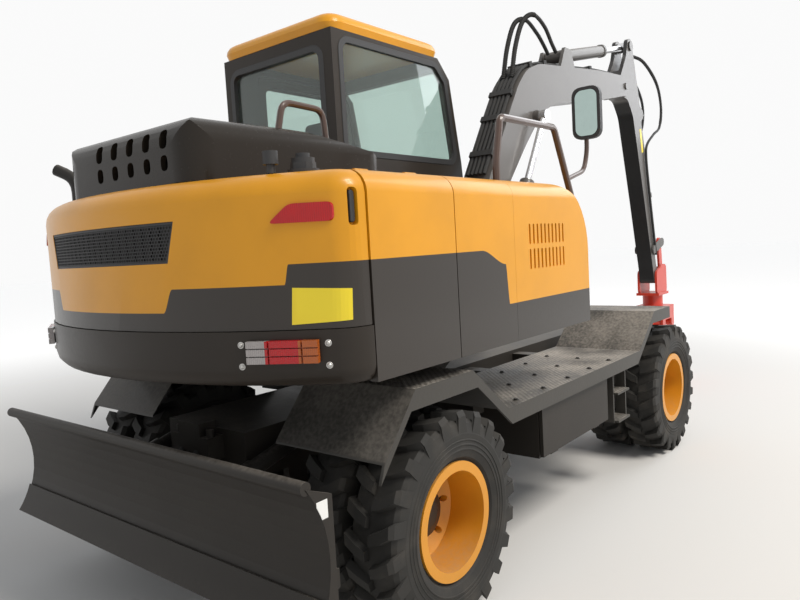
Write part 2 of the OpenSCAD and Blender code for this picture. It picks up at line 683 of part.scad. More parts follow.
// a top-hinged side cover on the right, from x0 to x1
module side_cover(x0, x1, hinges) {
    h = [-lid_hinge[0], lid_hinge[1]];
    difference() {
        union() {
            difference() {
                bar(side_line(panel_t), x0, x1);
                for (x = hinges) hinge_at_x(x, h) hinge_middle_room();
            }
            for (x = hinges) hinge_at_x(x, h) hinge_ends();
        }
        for (x = hinges) hinge_at_x(x, h) hinge_bore();
    }
}

module right_door() {
    color([0.9, 0.6, 0.15]) placed() side_cover(seam_1 + gap, seam_2 - gap, right_hinges_x);
}

module left_door() {
    color([0.9, 0.6, 0.15]) placed() scale([1, -1, 1]) side_cover(seam_1 + gap, cab_x0 - gap, left_hinges_x);
}

// section of a fixed side block in y and z, its inner face at y = -inner
function block_line(inner, under) = let (w = body_half, e = lid_hinge[0] - gap / 2 + seat,
    c = [-w + edge_r, cover_z - edge_r]) concat(
    [[-w, skirt_z]], arc(c, edge_r, 180, 90, 8),
        [[-e, cover_z], [-e, cover_z - under], [-inner, cover_z - under],
    [-inner, deck_top + seat], [-deck_half - seat, deck_top + seat], [-deck_half - seat, skirt_z]]);

module right_tank_panel() {
    color([0.9, 0.6, 0.15]) placed() bar(block_line(640, panel_t + seat), seam_2, seam_3 - 1);
}

vent_x = 640;
vent_pitch = 37;

module right_front_housing() {
    nose_r = 330;
    color([0.9, 0.6, 0.15]) placed() difference() {
        intersection() {
            bar(block_line(400, 0), seam_3 + seat, nose_x + 20);
            slab(concat([[seam_3, skirt_z - 1], [seam_3, cover_z]],
                arc([nose_x - nose_r, cover_z - nose_r], nose_r, 90, 0, 10), [[nose_x, skirt_z - 1]]),
                    -body_half - 1, -300);
        }
        for (z = [skirt_z + 305, skirt_z + 417]) for (k = [0:9]) slab(soft(rect(vent_x + k * vent_pitch, z,
            vent_x + k * vent_pitch + 15, z + 92), 7, 3), -body_half - 1, 14 - body_half);
    }
}

module top_cover() {
    e = body_half - edge_r - 40 - gap;
    cowl_x = hood_x[1] + 35;
    color([0.9, 0.6, 0.15]) placed() {
        difference() {
            union() {
                translate([0, 0, cover_z - panel_t]) linear_extrude(panel_t) polygon([[seam_1 + seat, -e],
                    [seam_3 - 1, -e],
                    [seam_3 - 1, -395], [cab_x0 - seat, -395], [cab_x0 - seat, e], [seam_1 + seat, e]]);
                slab([[cowl_x, cover_z - 1], [cowl_x, cover_z + 12], [cowl_x + 100, cover_z + 70],
                    [cab_x0 - seat, cover_z + 88], [cab_x0 - seat, cover_z - 1]], 5 - 395, hood_half);
            }
            box([seam_1 + 60, -400, cover_z - 60], [hood_x[1] - 45, 400, cover_z + 10]);
            for (x = right_hinges_x) hinge_at_x(x, [-lid_hinge[0], lid_hinge[1]]) hinge_room();
            for (x = left_hinges_x) hinge_at_x(x, lid_hinge) hinge_room();
            for (y = hood_hinges_y) hinge_at_y(y, hood_hinge) hinge_room();
        }
        for (x = right_hinges_x) hinge_at_x(x, [-lid_hinge[0], lid_hinge[1]]) hinge_middle();
        for (x = left_hinges_x) hinge_at_x(x, lid_hinge) hinge_middle();
        for (y = hood_hinges_y) hinge_at_y(y, hood_hinge) hinge_middle();
    }
}

module engine_block() {
    color([0.15, 0.15, 0.15]) placed()
        box([seam_1 + 80, -330, deck_top], [hood_x[1] - 105, 330, cover_z - 130]);
}

// the hood's outside, or its inside at inset d
module hood_form(d) {
    z0 = hood_z[0] - (d > 0 ? 1 : 0);
    top = hood_z[1] - d;
    intersection() {
        translate([0, 0, z0]) linear_extrude(hood_h + 10)
            polygon(soft(rect(hood_x[0] + d, d - hood_half, hood_x[1] - d, hood_half - d), 110 - d, 6));
        bar(soft([[d - hood_half, z0 - 200], [hood_half - d, z0 - 200], [hood_half - d, top],
            [d - hood_half, top]], 95, 6),
            hood_x[0] - 5, hood_x[1] + 5);
        slab(soft([[hood_x[0] + d, z0 - 200], [hood_x[0] + d, top], [(hood_x[0] + hood_x[1]) / 2, top],
            [hood_x[1] - d, top - 85], [hood_x[1] - d, z0 - 200]], 95, 6), -hood_half - 5, hood_half + 5);
    }
}

module hood() {
    color([0.2, 0.19, 0.18]) placed() difference() {
        union() {
            difference() {
                hood_form(0);
                hood_form(hood_t);
                for (y = [-297:114:160]) for (v = [[hood_z[0] + 76, 22, 28], [hood_z[1] - 72, 24, 34]])
                    bar(soft(rect(y - v[1], v[0] - v[2], y + v[1], v[0] + v[2]), 22, 4), hood_x[0] - 1,
                        hood_x[0] + hood_t + 60);
                for (y = hood_hinges_y) hinge_at_y(y, hood_hinge) hinge_middle_room();
            }
            for (y = hood_hinges_y) hinge_at_y(y, hood_hinge) hinge_ends();
        }
        for (y = hood_hinges_y) hinge_at_y(y, hood_hinge) hinge_bore();
    }
}

// grab rail on the hood's right edge
module hood_rail() {
    y = 75 - hood_half;
    foot_z = hood_z[1] - 5;
    color([0.25, 0.2, 0.17]) placed() difference() {
        tube(bend([[-232, y, foot_z - 30], [-195, y, hood_z[1] + 108], [30, y, hood_z[1] + 100],
            [48, y, foot_z - 66]], 45, 4), 14, [0, 1, 0], 10);
        hood_form(-seat);
    }
}

module exhaust_pipe() {
    x = tail_x + 245;
    color([0.15, 0.14, 0.14]) placed() tube(bend([[x, 560, cover_z + seat], [x, 560, cover_z + 120],
        [x - 50, 640, cover_z + 165]], 60, 4), 26, [0.8, 0.6, 0], 12);
}

module filler_caps() {
    cap = [tail_x + 355, 230 - body_half, cover_z + seat];
    color([0.06, 0.06, 0.06]) placed() {
        translate(cap) cylinder(r = 54, h = 12, $fn = 40);
        translate(cap) cylinder(r = 40, h = 50, $fn = 40);
        translate(cap) cylinder(r = 45, h = 34, $fn = 12);
        translate(cap) cylinder(r = 24, h = 66, $fn = 32);
        translate(cap + [-95, 55, 0]) {
            cylinder(r = 15, h = 40, $fn = 32);
            translate([0, 0, 30]) cylinder(r = 26, h = 44, $fn = 40);
        }
    }
}

mirror_x = 1530;

module handrail() {
    y = -body_half + edge_r + 20;
    color([0.25, 0.2, 0.17]) placed() union() {
        tube(bend([[550, y, cover_z + seat], [550, y, 1850], [600, y, 2055], [1130, y, 2060],
            [1335, y, 1660], [1335, y, 1400],
            [nose_x + seat, y, 1400]], 28, 4), 17, [0, 1, 0], 10);
        tube(bend([[1262, y, 1805], [1480, y, 1860], [mirror_x, y, 1970], [mirror_x, y, 2240]], 50, 4), 13,
            [0, 1, 0], 10);
    }
}

module mirror() {
    x = mirror_x - 13 - seat;
    color([0.08, 0.08, 0.08]) placed() difference() {
        bar(soft(rect(-body_half, 2030, 160 - body_half, 2310), 55, 5), x - 32, x);
        bar(soft(rect(16 - body_half, 2046, 144 - body_half, 2294), 42, 5), x - 33, x - 28);
    }
}

// Cab

cab_side = [[cab_x0, cab_z0], [cab_x0, roof_z], [1570, roof_z], [1690, 2570], [1790, 2040], [cab_x1, 1500],
    [cab_x1, cab_z0]];

function cab_inset(d) = [[cab_x0 + d, cab_z0 + d], [cab_x0 + d, roof_z + 1], [1570 - 0.5 * d, roof_z + 1],
    [1690 - d, 2570 - 0.3 * d],
    [1790 - d, 2040 - 0.1 * d], [cab_x1 - d, 1500], [cab_x1 - d, cab_z0 + d]];

rear_win = [[cab_y0 + 90, 2080], [cab_y1 - 70, 2600]];
side_win = [[cab_x0 + 70, 2040], [cab_x0 + 70, 2640], [1540, 2640], [1640, 2545], [1725, 2040]];
door_line = [[820, 1160], [820, 2640], [1530, 2640], [1620, 2560], [1710, 2040], [1760, 1480], [1760, 1160]];
cab_hinge = [door_line[0][0] + gap / 2, cab_y1];
cab_hinges_z = [1300, 2350];
door_win = [[880, 1980], [880, 2580], [1510, 2580], [1560, 2540], [1640, 2040], [1650, 1980]];

function rear_line(d) = soft(rect(rear_win[0][0] + d, rear_win[0][1] + d, rear_win[1][0] - d,
    rear_win[1][1] - d), window_r - d);

module cab_frame() {
    color([0.18, 0.17, 0.17]) placed() difference() {
        slab(cab_side, cab_y0, cab_y1);
        slab(cab_inset(cab_t), cab_y0 + cab_t, cab_y1 - cab_t);
        bar(rear_line(0), cab_x0 - 1, cab_x0 + cab_t + 1);
        slab(soft(side_win, window_r), cab_y0 - 1, cab_y0 + cab_t + 1);
        slab(soft(door_line, 40), cab_y1 - cab_t - 1, cab_y1 + 1);
        box([1560, cab_y0 + 60, 1250], [cab_x1 + 1, cab_y1 - 60, 2620]);
        for (z = cab_hinges_z) hinge_at_z(z, cab_hinge) hinge_room();
    }
    color([0.18, 0.17, 0.17]) placed() for (z = cab_hinges_z) hinge_at_z(z, cab_hinge) hinge_middle();
}

// roof shell with a rounded upper edge
module cab_roof() {
    roof_r = 55;
    color([0.9, 0.62, 0.15]) placed() hull() {
        translate([0, 0, roof_z + seat]) linear_extrude(0.1) polygon(roof_line(12));
        for (k = [0:4]) translate([0, 0,
            roof_z + roof_h - roof_r * (1 - sin(22.5 * k)) - 0.1]) linear_extrude(0.1)
            polygon(roof_line(roof_r * (1 - cos(22.5 * k))));
    }
}

function roof_line(d) = soft(rect(cab_x0 - 15 + d, cab_y0 - 12 + d, 1600 - d, cab_y1 + 12 - d), 110 - d, 5);

function middle(v) = (max(v) + min(v)) / 2;
function shrink(pts, d) = let (c = [middle([for (p = pts) p[0]]), middle([for (p = pts) p[1]])])
    [for (p = pts) p + d * [p[0] > c[0] ? -1 : 1, p[1] > c[1] ? -1 : 1]];

module cab_door() {
    color([0.18, 0.17, 0.17]) placed() difference() {
        union() {
            difference() {
                slab(soft(shrink(door_line, gap), 40), cab_y1 - cab_t + 5, cab_y1);
                slab(soft(door_win, window_r), cab_y1 - cab_t, cab_y1 + 1);
                slab(soft(rect(1560, 1760, 1680, 1830), 30), cab_y1 - 18, cab_y1 + 1);
                for (z = cab_hinges_z) hinge_at_z(z, cab_hinge) hinge_middle_room();
            }
            for (z = cab_hinges_z) hinge_at_z(z, cab_hinge) hinge_ends();
        }
        for (z = cab_hinges_z) hinge_at_z(z, cab_hinge) hinge_bore();
    }
}

front_line = [[1640, 2620], [1690, 2570], [1790, 2040], [cab_x1, 1500], [cab_x1, 1250]];

module cab_glass() {
    front = [for (k = [0:4]) front_line[k] + [k == 0 ? -6 : -8, k == 0 ? -seat : k == 4 ? seat : 0]];
    color([0.6, 0.8, 0.78, 0.4]) placed() {
        bar(rear_line(seat), cab_x0 + 20, cab_x0 + 20 + glass_t);
        slab(soft(shrink(side_win, seat), window_r), cab_y0 + 10, cab_y0 + 10 + glass_t);
        slab(concat(front, [for (k = [4:-1:0]) front[k] - [glass_t, 0]]), cab_y0 + 60 + seat,
            cab_y1 - 60 - seat);
    }
}

module door_glass() {
    color([0.6, 0.8, 0.78, 0.4]) placed() slab(soft(shrink(door_win, seat), window_r), cab_y1 - 25,
        cab_y1 - 25 + glass_t);
}

floor_z = cab_z0 + cab_t + seat;

module seat() {
    color([0.1, 0.1, 0.1]) placed() union() {
        slab(soft([[1000, floor_z], [1300, floor_z], [1340, 1420], [960, 1420]], 20), 370, 690);
        slab(soft([[940, 1415], [1380, 1415], [1390, 1500], [1340, 1535], [950, 1505]], 45), 330, 730);
        slab(soft([[930, 1480], [1050, 1490], [985, 2100], [885, 2090]], 45), 340, 720);
        slab(soft([[885, 2120], [965, 2130], [945, 2290], [870, 2280]], 40), 420, 640);
        slab([[905, 2080], [950, 2080], [935, 2150], [900, 2150]], 500, 560);
    }
}

// armrest consoles with levers, and the steering wheel on its column
module console() {
    wheel_at = [1440, 1790];
    color([0.12, 0.12, 0.12]) placed() {
        for (y = [160, 770]) union() {
            slab(soft([[1000, floor_z], [1290, floor_z], [1310, 1640], [1270, 1700], [1000, 1690]], 30), y,
                y + 120);
            translate([1250, y + 60, 1690]) rotate([0, 12, 0]) {
                cylinder(r = 9, h = 190, $fn = 24);
                translate([0, 0, 110]) cylinder(r1 = 16, r2 = 24, h = 95, $fn = 24);
            }
        }
        translate([wheel_at[0], 530, wheel_at[1]]) rotate([0, -17, 0]) {
            translate([0, 0, floor_z - wheel_at[1] + 22]) cylinder(r = 28, h = wheel_at[1] - floor_z - 5,
                $fn = 32);
            rotate_extrude($fn = 48) translate([185, 10]) circle(r = 14, $fn = 24);
            for (t = [0, 120, 240]) rotate([0, 0, t + 90]) box([10, -12, 2], [182, 12, 14]);
            cylinder(r = 40, h = 22, $fn = 32);
        }
        box([1600, 450, floor_z], [1680, 610, floor_z + 55]);
    }
}

// Boom and arm

boom_top = [[1578, 1914], [1861, 2347], [1985, 2525], [2110, 2640], [2292, 2705], [3300, 2822], [3850, 2862]];
boom_soft = 60;
boom_under = [[3960, 2712], [3603, 2641], [2870, 2517], [2505, 2455], [2370, 2405], [2260, 2331],
    [2048, 2130], [1800, 1860]];

module boom() {
    color([0.35, 0.34, 0.33]) placed() difference() {
        union() {
            slab(soft(concat([[foot[0] - 55, foot[1] + 60]], boom_top,
                [[tip[0] + 60, tip[1] + 50], [tip[0] + 70, tip[1] - 40]],
                boom_under, [[foot[0] + 60, foot[1] - 30]]), boom_soft, 3), boom_out, boom_in);
            cross_pin(foot, 75, boom_out, boom_in);
            cross_pin(tip, 85, boom_out, boom_in);
            cross_pin(foot, pin_r, boom_out - 30, boom_in + 30);
            for (y = [boom_out, boom_in - 25]) slab([[crowd_base[0] - 130, 2740],
                [crowd_base[0] - 50, crowd_base[1] + 45],
                [crowd_base[0] + 50, crowd_base[1] + 45], [crowd_base[0] + 110, 2770]], y, y + 25);
            cross_pin(crowd_base, 22, boom_out, boom_in);
            cross_pin(lift_eye, 45, boom_out - 35, boom_in + 35);
        }
        box([tip[0] - 240, boom_y - arm_w / 2 - side_gap, tip[1] - 200],
            [tip[0] + 200, boom_y + arm_w / 2 + side_gap, tip[1] + 200]);
    }
    color([0.35, 0.34, 0.33]) placed() cross_pin(tip, pin_r, boom_out - 12, boom_in + 12);
}

// an [x, z] line moved sideways by d, to its left
function beside(pts, d) = let (n = len(pts)) [for (i = [0:n - 1])
    let (t = unit(i == 0 ? pts[1] - pts[0] : i == n - 1 ? pts[n - 1] - pts[n - 2]
        : unit(pts[i] - pts[i - 1]) + unit(pts[i + 1] - pts[i]))) pts[i] + d * [-t[1], t[0]]];

hose_ys = [-60, -30, 0, 30, 60];
pipe_ys = [-64, 64];
hose_end = (boom_top[3] + boom_top[4]) / 2;

// hoses up the boom's back, steel pipes along its top, their clamps, and the arm cylinder's hose loop
module boom_pipes() {
    hose_r = 13;
    pipe_r = 9;
    function on_boom(pts, y, d) = [for (p = beside([for (q = bend([for (v = pts) [v[0], 0, v[1]]], boom_soft,
        3)) [q[0], q[2]]], d))
        [p[0], boom_y + y, p[1]]];
    rear = [for (i = [0:4]) i < 4 ? boom_top[i] : hose_end];
    top = [hose_end, boom_top[4], boom_top[5], [3700, 2851]];
    color([0.1, 0.1, 0.1]) placed() union() {
        for (y = hose_ys) tube(on_boom(rear, y, hose_r + seat + 3), hose_r, [0, 1, 0], 8);
        for (y = pipe_ys) tube(on_boom(top, y, pipe_r + seat + 3), pipe_r, [0, 1, 0], 8);
        for (v = [[0, 0.3, 28], [0, 0.85, 28], [1, 0.6, 28], [3, 0.5, 28], [4, 0.12, 24], [4, 0.9, 24]]) {
            p = (1 - v[1]) * boom_top[v[0]] + v[1] * boom_top[v[0] + 1];
            d = boom_top[v[0] + 1] - boom_top[v[0]];
            translate([p[0], boom_y, p[1]]) rotate([0, -atan2(d[1], d[0]), 0]) box([-20, -84, seat],
                [20, 84, v[2] + 8]);
        }
    }
}

module lift_barrels() {
    color([0.3, 0.29, 0.28]) placed() for (s = [-1, 1]) difference() {
        cyl_barrel(lift_base, lift_eye, lift_r, 800, boom_y + s * lift_y, 2 * lift_r);
        rod_bore(lift_base, lift_eye, lift_r, 800, boom_y + s * lift_y);
        cross_pin(lift_base, 20 + run, boom_y + s * lift_y - 50, boom_y + s * lift_y + 50);
    }
}

module lift_rods() {
    color([0.85, 0.85, 0.85]) placed() for (s = [-1, 1])
        cyl_rod(lift_base, lift_eye, lift_r, 200, boom_y + s * lift_y, 50);
}

arm_line = [[4060, 3225], [4150, 3235], [4215, 3020], [4306, 2735], [4500, 1806], [4650, 1187], [4705, 1075],
    [4690, 1000], [4590, 1000], [4560, 1150], [4370, 1810], [4140, 2560], [4020, 2690], [3900, 2700],
        [3820, 2790],
    [3860, 2860], [4010, 3060]];

module arm() {
    color([0.33, 0.32, 0.31]) placed() difference() {
        union() {
            slab(soft(arm_line, 40, 3), boom_y - arm_w / 2, boom_y + arm_w / 2);
            cross_pin(crowd_eye, 42, boom_y - arm_w / 2 - 14, boom_y + arm_w / 2 + 14);
            for (y = [boom_y - tool_r - side_gap - 16, boom_y + tool_r + side_gap]) slab([[4310, 2690],
                [tool_base[0] + 10, tool_base[1] + 40],
                [tool_base[0] + 38, tool_base[1]], [tool_base[0] + 10, tool_base[1] - 40], [4340, 2540]], y,
                    y + 16);
        }
        cross_pin(tip, pin_r + run, boom_out, boom_in);
        cross_pin(tool_pin, pin_r + run, boom_out, boom_in);
        cross_pin(rocker_pin, 20 + run, boom_out, boom_in);
        box([3800, boom_y - 32 - side_gap, 2930], [4300, boom_y + 32 + side_gap, 3300]);
    }
    color([0.33, 0.32, 0.31]) placed() cross_pin(tool_base, 18, boom_y - tool_r - side_gap - 1,
        boom_y + tool_r + side_gap + 1);
}

module crowd_barrel() {
    color([0.4, 0.39, 0.38]) placed() difference() {
        cyl_barrel(crowd_base, crowd_eye, crowd_r, 900, boom_y, 140);
        rod_bore(crowd_base, crowd_eye, crowd_r, 900, boom_y);
        cross_pin(crowd_base, 22 + run, boom_out, boom_in);
    }
}

module crowd_rod() {
    color([0.85, 0.85, 0.85]) placed() cyl_rod(crowd_base, crowd_eye, crowd_r, 320, boom_y, 60);
}

module tool_barrel() {
    color([0.4, 0.39, 0.38]) placed() difference() {
        cyl_barrel(tool_base, link_pin, tool_r, 800, boom_y, 2 * tool_r);
        rod_bore(tool_base, link_pin, tool_r, 800, boom_y);
        cross_pin(tool_base, 18 + run, boom_y - 40, boom_y + 40);
    }
}

module tool_rod() {
    color([0.85, 0.85, 0.85]) placed() cyl_rod(tool_base, link_pin, tool_r, 155, boom_y, 50);
}

module rocker() {
    side = arm_w / 2 + side_gap;
    color([0.3, 0.29, 0.28]) placed() {
        for (s = [-1, 1]) {
            y = boom_y + s * (side + 8) - 8;
            hull() {
                cross_pin(rocker_pin, 38, y, y + 16);
                cross_pin(link_pin, 38, y, y + 16);
            }
            cross_pin(link_pin, 20, boom_y + s * (side + 41) / 2 - (side - 41) / 2 - 1,
                boom_y + s * (side + 41) / 2 + (side - 41) / 2 + 1);
        }
        cross_pin(rocker_pin, 20, boom_y - side - 1, boom_y + side + 1);
    }
}

module tool_link() {
    color([0.85, 0.2, 0.1]) placed() difference() {
        union() {
            for (y = [boom_y - 60, boom_y + 40]) hull() {
                cross_pin(link_pin, 42, y, y + 20);
                cross_pin(ear_pin, 42, y, y + 20);
            }
            cross_pin(ear_pin, 24, boom_y - 70, boom_y + 70);
        }
        cross_pin(link_pin, 20 + run, boom_y - 70, boom_y + 70);
    }
}

module tool_head() {
    color([0.85, 0.2, 0.1]) placed() union() {
        for (y = [boom_y - arm_w / 2 - side_gap - 20, boom_y + arm_w / 2 + side_gap])
            slab(soft([[4590, 900], [4590, 1110], [4640, 1130], [4800, 1185], [4875, 1165], [4880, 900]],
                40), y, y + 20);
        box([4590, boom_y - 110, 880], [4880, boom_y + 110, 905]);
        cross_pin(tool_pin, pin_r, boom_y - arm_w / 2 - side_gap - 20, boom_y + arm_w / 2 + side_gap + 20);
    }
}

module grapple_frame() {
    half = jaw_w / 2;
    color([0.85, 0.2, 0.1]) placed() translate([jaw_x, boom_y, 0]) union() {
        translate([0, 0, 880 - rotator_h]) cylinder(r = 95, h = rotator_h - seat, $fn = 40);
        slab([[-170, 881 - rotator_h], [170, 881 - rotator_h], [170, jaw_pin[1] + 105], [120, jaw_pin[1] + 41],
            [-120, jaw_pin[1] + 41], [-170, jaw_pin[1] + 105]], -half, half);
        for (s = [-1, 1]) {
            for (y = [-half, half - 20]) slab([[s * (jaw_pin[0] - 38), jaw_pin[1] + 106],
                [s * (jaw_pin[0] - 38), jaw_pin[1] - 20],
                [s * (jaw_pin[0] - 16), jaw_pin[1] - 38], [s * (jaw_pin[0] + 16), jaw_pin[1] - 38],
                [s * (jaw_pin[0] + 38), jaw_pin[1] - 20], [s * (jaw_pin[0] + 38), jaw_pin[1] + 106]], y,
                    y + 20);
            cross_pin([s * jaw_pin[0], jaw_pin[1]], 18, 1 - half, half - 1);
        }
    }
}

// tines of the front and the rear jaw, from the tool's middle plane
front_tines = [-100, 0, 100];
rear_tines = [-50, 50];
tine_line = [[jaw_pin[0] + 5, jaw_pin[1] + 34], [240, 585], [300, 520], [jaw_out, 400], [290, 300],
    [200, 235], [5, 190],
    [60, 252], [180, 290], [245, 350], [262, 410], [235, 495], [180, 545], [jaw_pin[0] - 5, jaw_pin[1] - 34]];

// one jaw, its tines joined by the pin boss and two tubes
module jaw(s, tines) {
    half = jaw_w / 2 - 20 - side_gap;
    color([0.85, 0.2, 0.1]) placed() translate([jaw_x, boom_y, 0]) scale([s, 1, 1]) difference() {
        union() {
            cross_pin(jaw_pin, 35, -half, half);
            for (y = tines) slab(soft(tine_line, 25, 3), y - 13, y + 13);
            for (p = [[268, 520], [285, 350]]) cross_pin(p, 24, tines[0] - 12, tines[len(tines) - 1] + 12);
        }
        cross_pin(jaw_pin, 18 + run, -half - 1, half + 1);
    }
}

chassis_frame();
side_platforms();
side_boxes();
toolbox_door();
steps();
rear_axle();
front_axle();
knuckle(1);  // knuckle_left
knuckle(-1);  // knuckle_right
tie_rod();
tyres(0, 1);  // tyres_rear_left
tyres(0, -1);  // tyres_rear_right
tyres(front_x, 1);  // tyres_front_left
tyres(front_x, -1);  // tyres_front_right
rims(0, 1);  // rims_rear_left
rims(0, -1);  // rims_rear_right
rims(front_x, 1);  // rims_front_left
rims(front_x, -1);  // rims_front_right
blade();
blade_barrels();
blade_rods();
upper_frame();
counterweight();
tail_cover();
tail_grille();
tail_lamps();
top_cover();
right_door();
right_tank_panel();
right_front_housing();
left_door();
engine_block();
hood();
hood_rail();
exhaust_pipe();
filler_caps();
handrail();
mirror();
cab_frame();
cab_roof();
cab_door();
door_glass();
cab_glass();
seat();
console();
boom();
boom_pipes();
lift_barrels();
lift_rods();
arm();
crowd_barrel();
crowd_rod();
tool_barrel();
tool_rod();
rocker();
tool_link();
tool_head();
grapple_frame();
jaw(1, front_tines);  // jaw_front
jaw(-1, rear_tines);  // jaw_rear
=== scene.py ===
"""Looks of a wheeled excavator with twin tyres, a rear blade, a cab and a timber grapple."""

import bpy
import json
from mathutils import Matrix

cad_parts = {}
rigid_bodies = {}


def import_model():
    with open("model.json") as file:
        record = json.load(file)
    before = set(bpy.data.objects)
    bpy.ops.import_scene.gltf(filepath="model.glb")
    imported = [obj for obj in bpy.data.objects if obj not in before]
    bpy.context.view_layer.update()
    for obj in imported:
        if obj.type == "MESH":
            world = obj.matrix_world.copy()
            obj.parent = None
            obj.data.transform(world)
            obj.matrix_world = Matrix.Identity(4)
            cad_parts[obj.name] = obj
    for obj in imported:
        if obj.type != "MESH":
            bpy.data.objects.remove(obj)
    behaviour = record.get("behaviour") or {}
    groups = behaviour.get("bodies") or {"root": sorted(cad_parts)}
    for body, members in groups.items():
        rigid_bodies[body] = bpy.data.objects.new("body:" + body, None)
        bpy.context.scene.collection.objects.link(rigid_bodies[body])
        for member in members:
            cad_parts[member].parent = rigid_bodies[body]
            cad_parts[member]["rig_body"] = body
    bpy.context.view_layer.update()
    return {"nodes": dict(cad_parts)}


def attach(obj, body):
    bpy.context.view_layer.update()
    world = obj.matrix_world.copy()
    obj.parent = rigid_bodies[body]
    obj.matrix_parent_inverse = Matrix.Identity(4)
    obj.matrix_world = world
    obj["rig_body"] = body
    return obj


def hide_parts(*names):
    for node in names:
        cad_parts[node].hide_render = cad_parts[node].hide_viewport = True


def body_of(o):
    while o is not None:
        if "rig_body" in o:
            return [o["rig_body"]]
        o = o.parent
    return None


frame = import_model()        # the imported CAD nodes, by name

import json
import logging
import math
from dataclasses import dataclass, field
from enum import Enum
from typing import Callable, Sequence

import bmesh
import bpy
from mathutils import Matrix, Vector
from mathutils.bvhtree import BVHTree

LOG = logging.getLogger("wheeled_excavator")
SHIFT_X = -2.110         # where the rear axle stands along the frame's X
WHEELBASE = 2.650
AXLE_Z = 0.430
CIRCLE = 2 * math.pi
SIDES = (-1, 1)          # right and left, as signs of Y
UP = Vector((0, 0, 1))
Point = tuple[float, float, float]
Outline = Sequence[tuple[float, float]]
Socket = bpy.types.NodeSocket
Shape = bmesh.types.BMesh
Piece = bpy.types.Object


class Axis(Enum):
    """An axis of the frame, by its name on a node."""

    X = "X"
    Y = "Y"
    Z = "Z"


class Axle(Enum):
    """An axle, by the word in its nodes' names."""

    REAR = "rear"
    FRONT = "front"

    @property
    def x(self) -> float:
        """Where the axle stands along the frame's X."""
        return SHIFT_X + (WHEELBASE if self is Axle.FRONT else 0.0)


class Side(Enum):
    """A side of the machine, by the sign of its Y."""

    LEFT = 1
    RIGHT = -1

    @property
    def word(self) -> str:
        """The word in its nodes' names."""
        return self.name.lower()


class Kind(Enum):
    """What an input of a Geometry Nodes group takes."""

    OBJECT = "NodeSocketObject"
    COUNT = "NodeSocketInt"
    SIZE = "NodeSocketFloat"
    MATERIAL = "NodeSocketMaterial"
    GEOMETRY = "NodeSocketGeometry"


# Node trees


def operator(operation: str, swapped: bool = False) -> Callable[["Term", object], "Term"]:
    """Makes a method of Term that takes a second value.

    Args:
        operation: the Math node's operation.
        swapped: True for a reflected operator, whose first value is the other one.

    Returns:
        The method.
    """
    def method(self: "Term", other: object) -> "Term":
        """The result of the Math node on both values."""
        return self.math(operation, other, self) if swapped else self.math(operation, self, other)

    return method


def function(operation: str) -> Callable[["Term"], "Term"]:
    """Makes a method of Term that takes no second value."""
    return lambda self: self.math(operation, self)


class Term:
    """A socket that takes part in arithmetic and adds its Math nodes."""

    def __init__(self, tree: "Tree", socket: Socket) -> None:
        """Keeps the tree and the output socket."""
        self.tree = tree
        self.socket = socket

    def math(self, operation: str, *values: object) -> "Term":
        """Adds one Math node.

        Args:
            operation: the Math node's operation.
            values: terms or numbers for its sockets, in order.

        Returns:
            The node's result.
        """
        return self.tree.number("ShaderNodeMath", dict(enumerate(values)), operation=operation)

    __add__, __radd__ = operator("ADD"), operator("ADD", True)
    __sub__, __rsub__ = operator("SUBTRACT"), operator("SUBTRACT", True)
    __mul__, __rmul__ = operator("MULTIPLY"), operator("MULTIPLY", True)
    __truediv__, __rtruediv__ = operator("DIVIDE"), operator("DIVIDE", True)
    power, modulo, at_most = operator("POWER"), operator("MODULO"), operator("MINIMUM")
    above, below = operator("GREATER_THAN"), operator("LESS_THAN")
    sine, arcsine = function("SINE"), function("ARCSINE")
    absolute, floor = function("ABSOLUTE"), function("FLOOR")

    def step(self, start: float, end: float) -> "Term":
        """Rises smoothly from 0 at start to 1 at end.

        Args:
            start: where the rise starts.
            end: where it is complete.

        Returns:
            The smoothed value.
        """
        sockets = {"Value": self, "From Min": start, "From Max": end}
        return self.tree.number("ShaderNodeMapRange", sockets, interpolation_type="SMOOTHSTEP")


class Tree:
    """A node tree that is written in plain Python."""

    def __init__(self, nodes: bpy.types.NodeTree) -> None:
        """Keeps the Blender tree."""
        self.nodes = nodes

    def feed(self, target: Socket, value: object) -> None:
        """Links a term or a socket to an input, or sets a plain value on it."""
        if isinstance(value, Term):
            value = value.socket
        if isinstance(value, Socket):
            self.nodes.links.new(value, target)
        else:
            target.default_value = (*value, 1.0) if target.type == "RGBA" else value

    def add(self, kind: str, sockets: dict | None = None, **settings: object) -> bpy.types.Node:
        """Adds a node.

        Args:
            kind: Blender's name of the node type.
            sockets: values, terms or sockets for its inputs, by name or number.
            settings: the node's own settings, which are set first.

        Returns:
            The new node.
        """
        node = self.nodes.nodes.new(kind)
        for key, value in settings.items():
            setattr(node, key, value)
        for key, value in (sockets or {}).items():
            self.feed(node.inputs[key], value)
        return node

    def result(self, kind: str, sockets: dict | None = None, **settings: object) -> Socket:
        """Adds a node as add does, and returns its first output."""
        return self.add(kind, sockets, **settings).outputs[0]

    def number(self, kind: str, sockets: dict | None = None, **settings: object) -> Term:
        """Adds a node as add does, and returns its first output as a term."""
        return Term(self, self.result(kind, sockets, **settings))

    def vector(self, **parts: object) -> Socket:
        """A vector from numbers or terms for X, Y and Z."""
        return self.result("ShaderNodeCombineXYZ", parts)


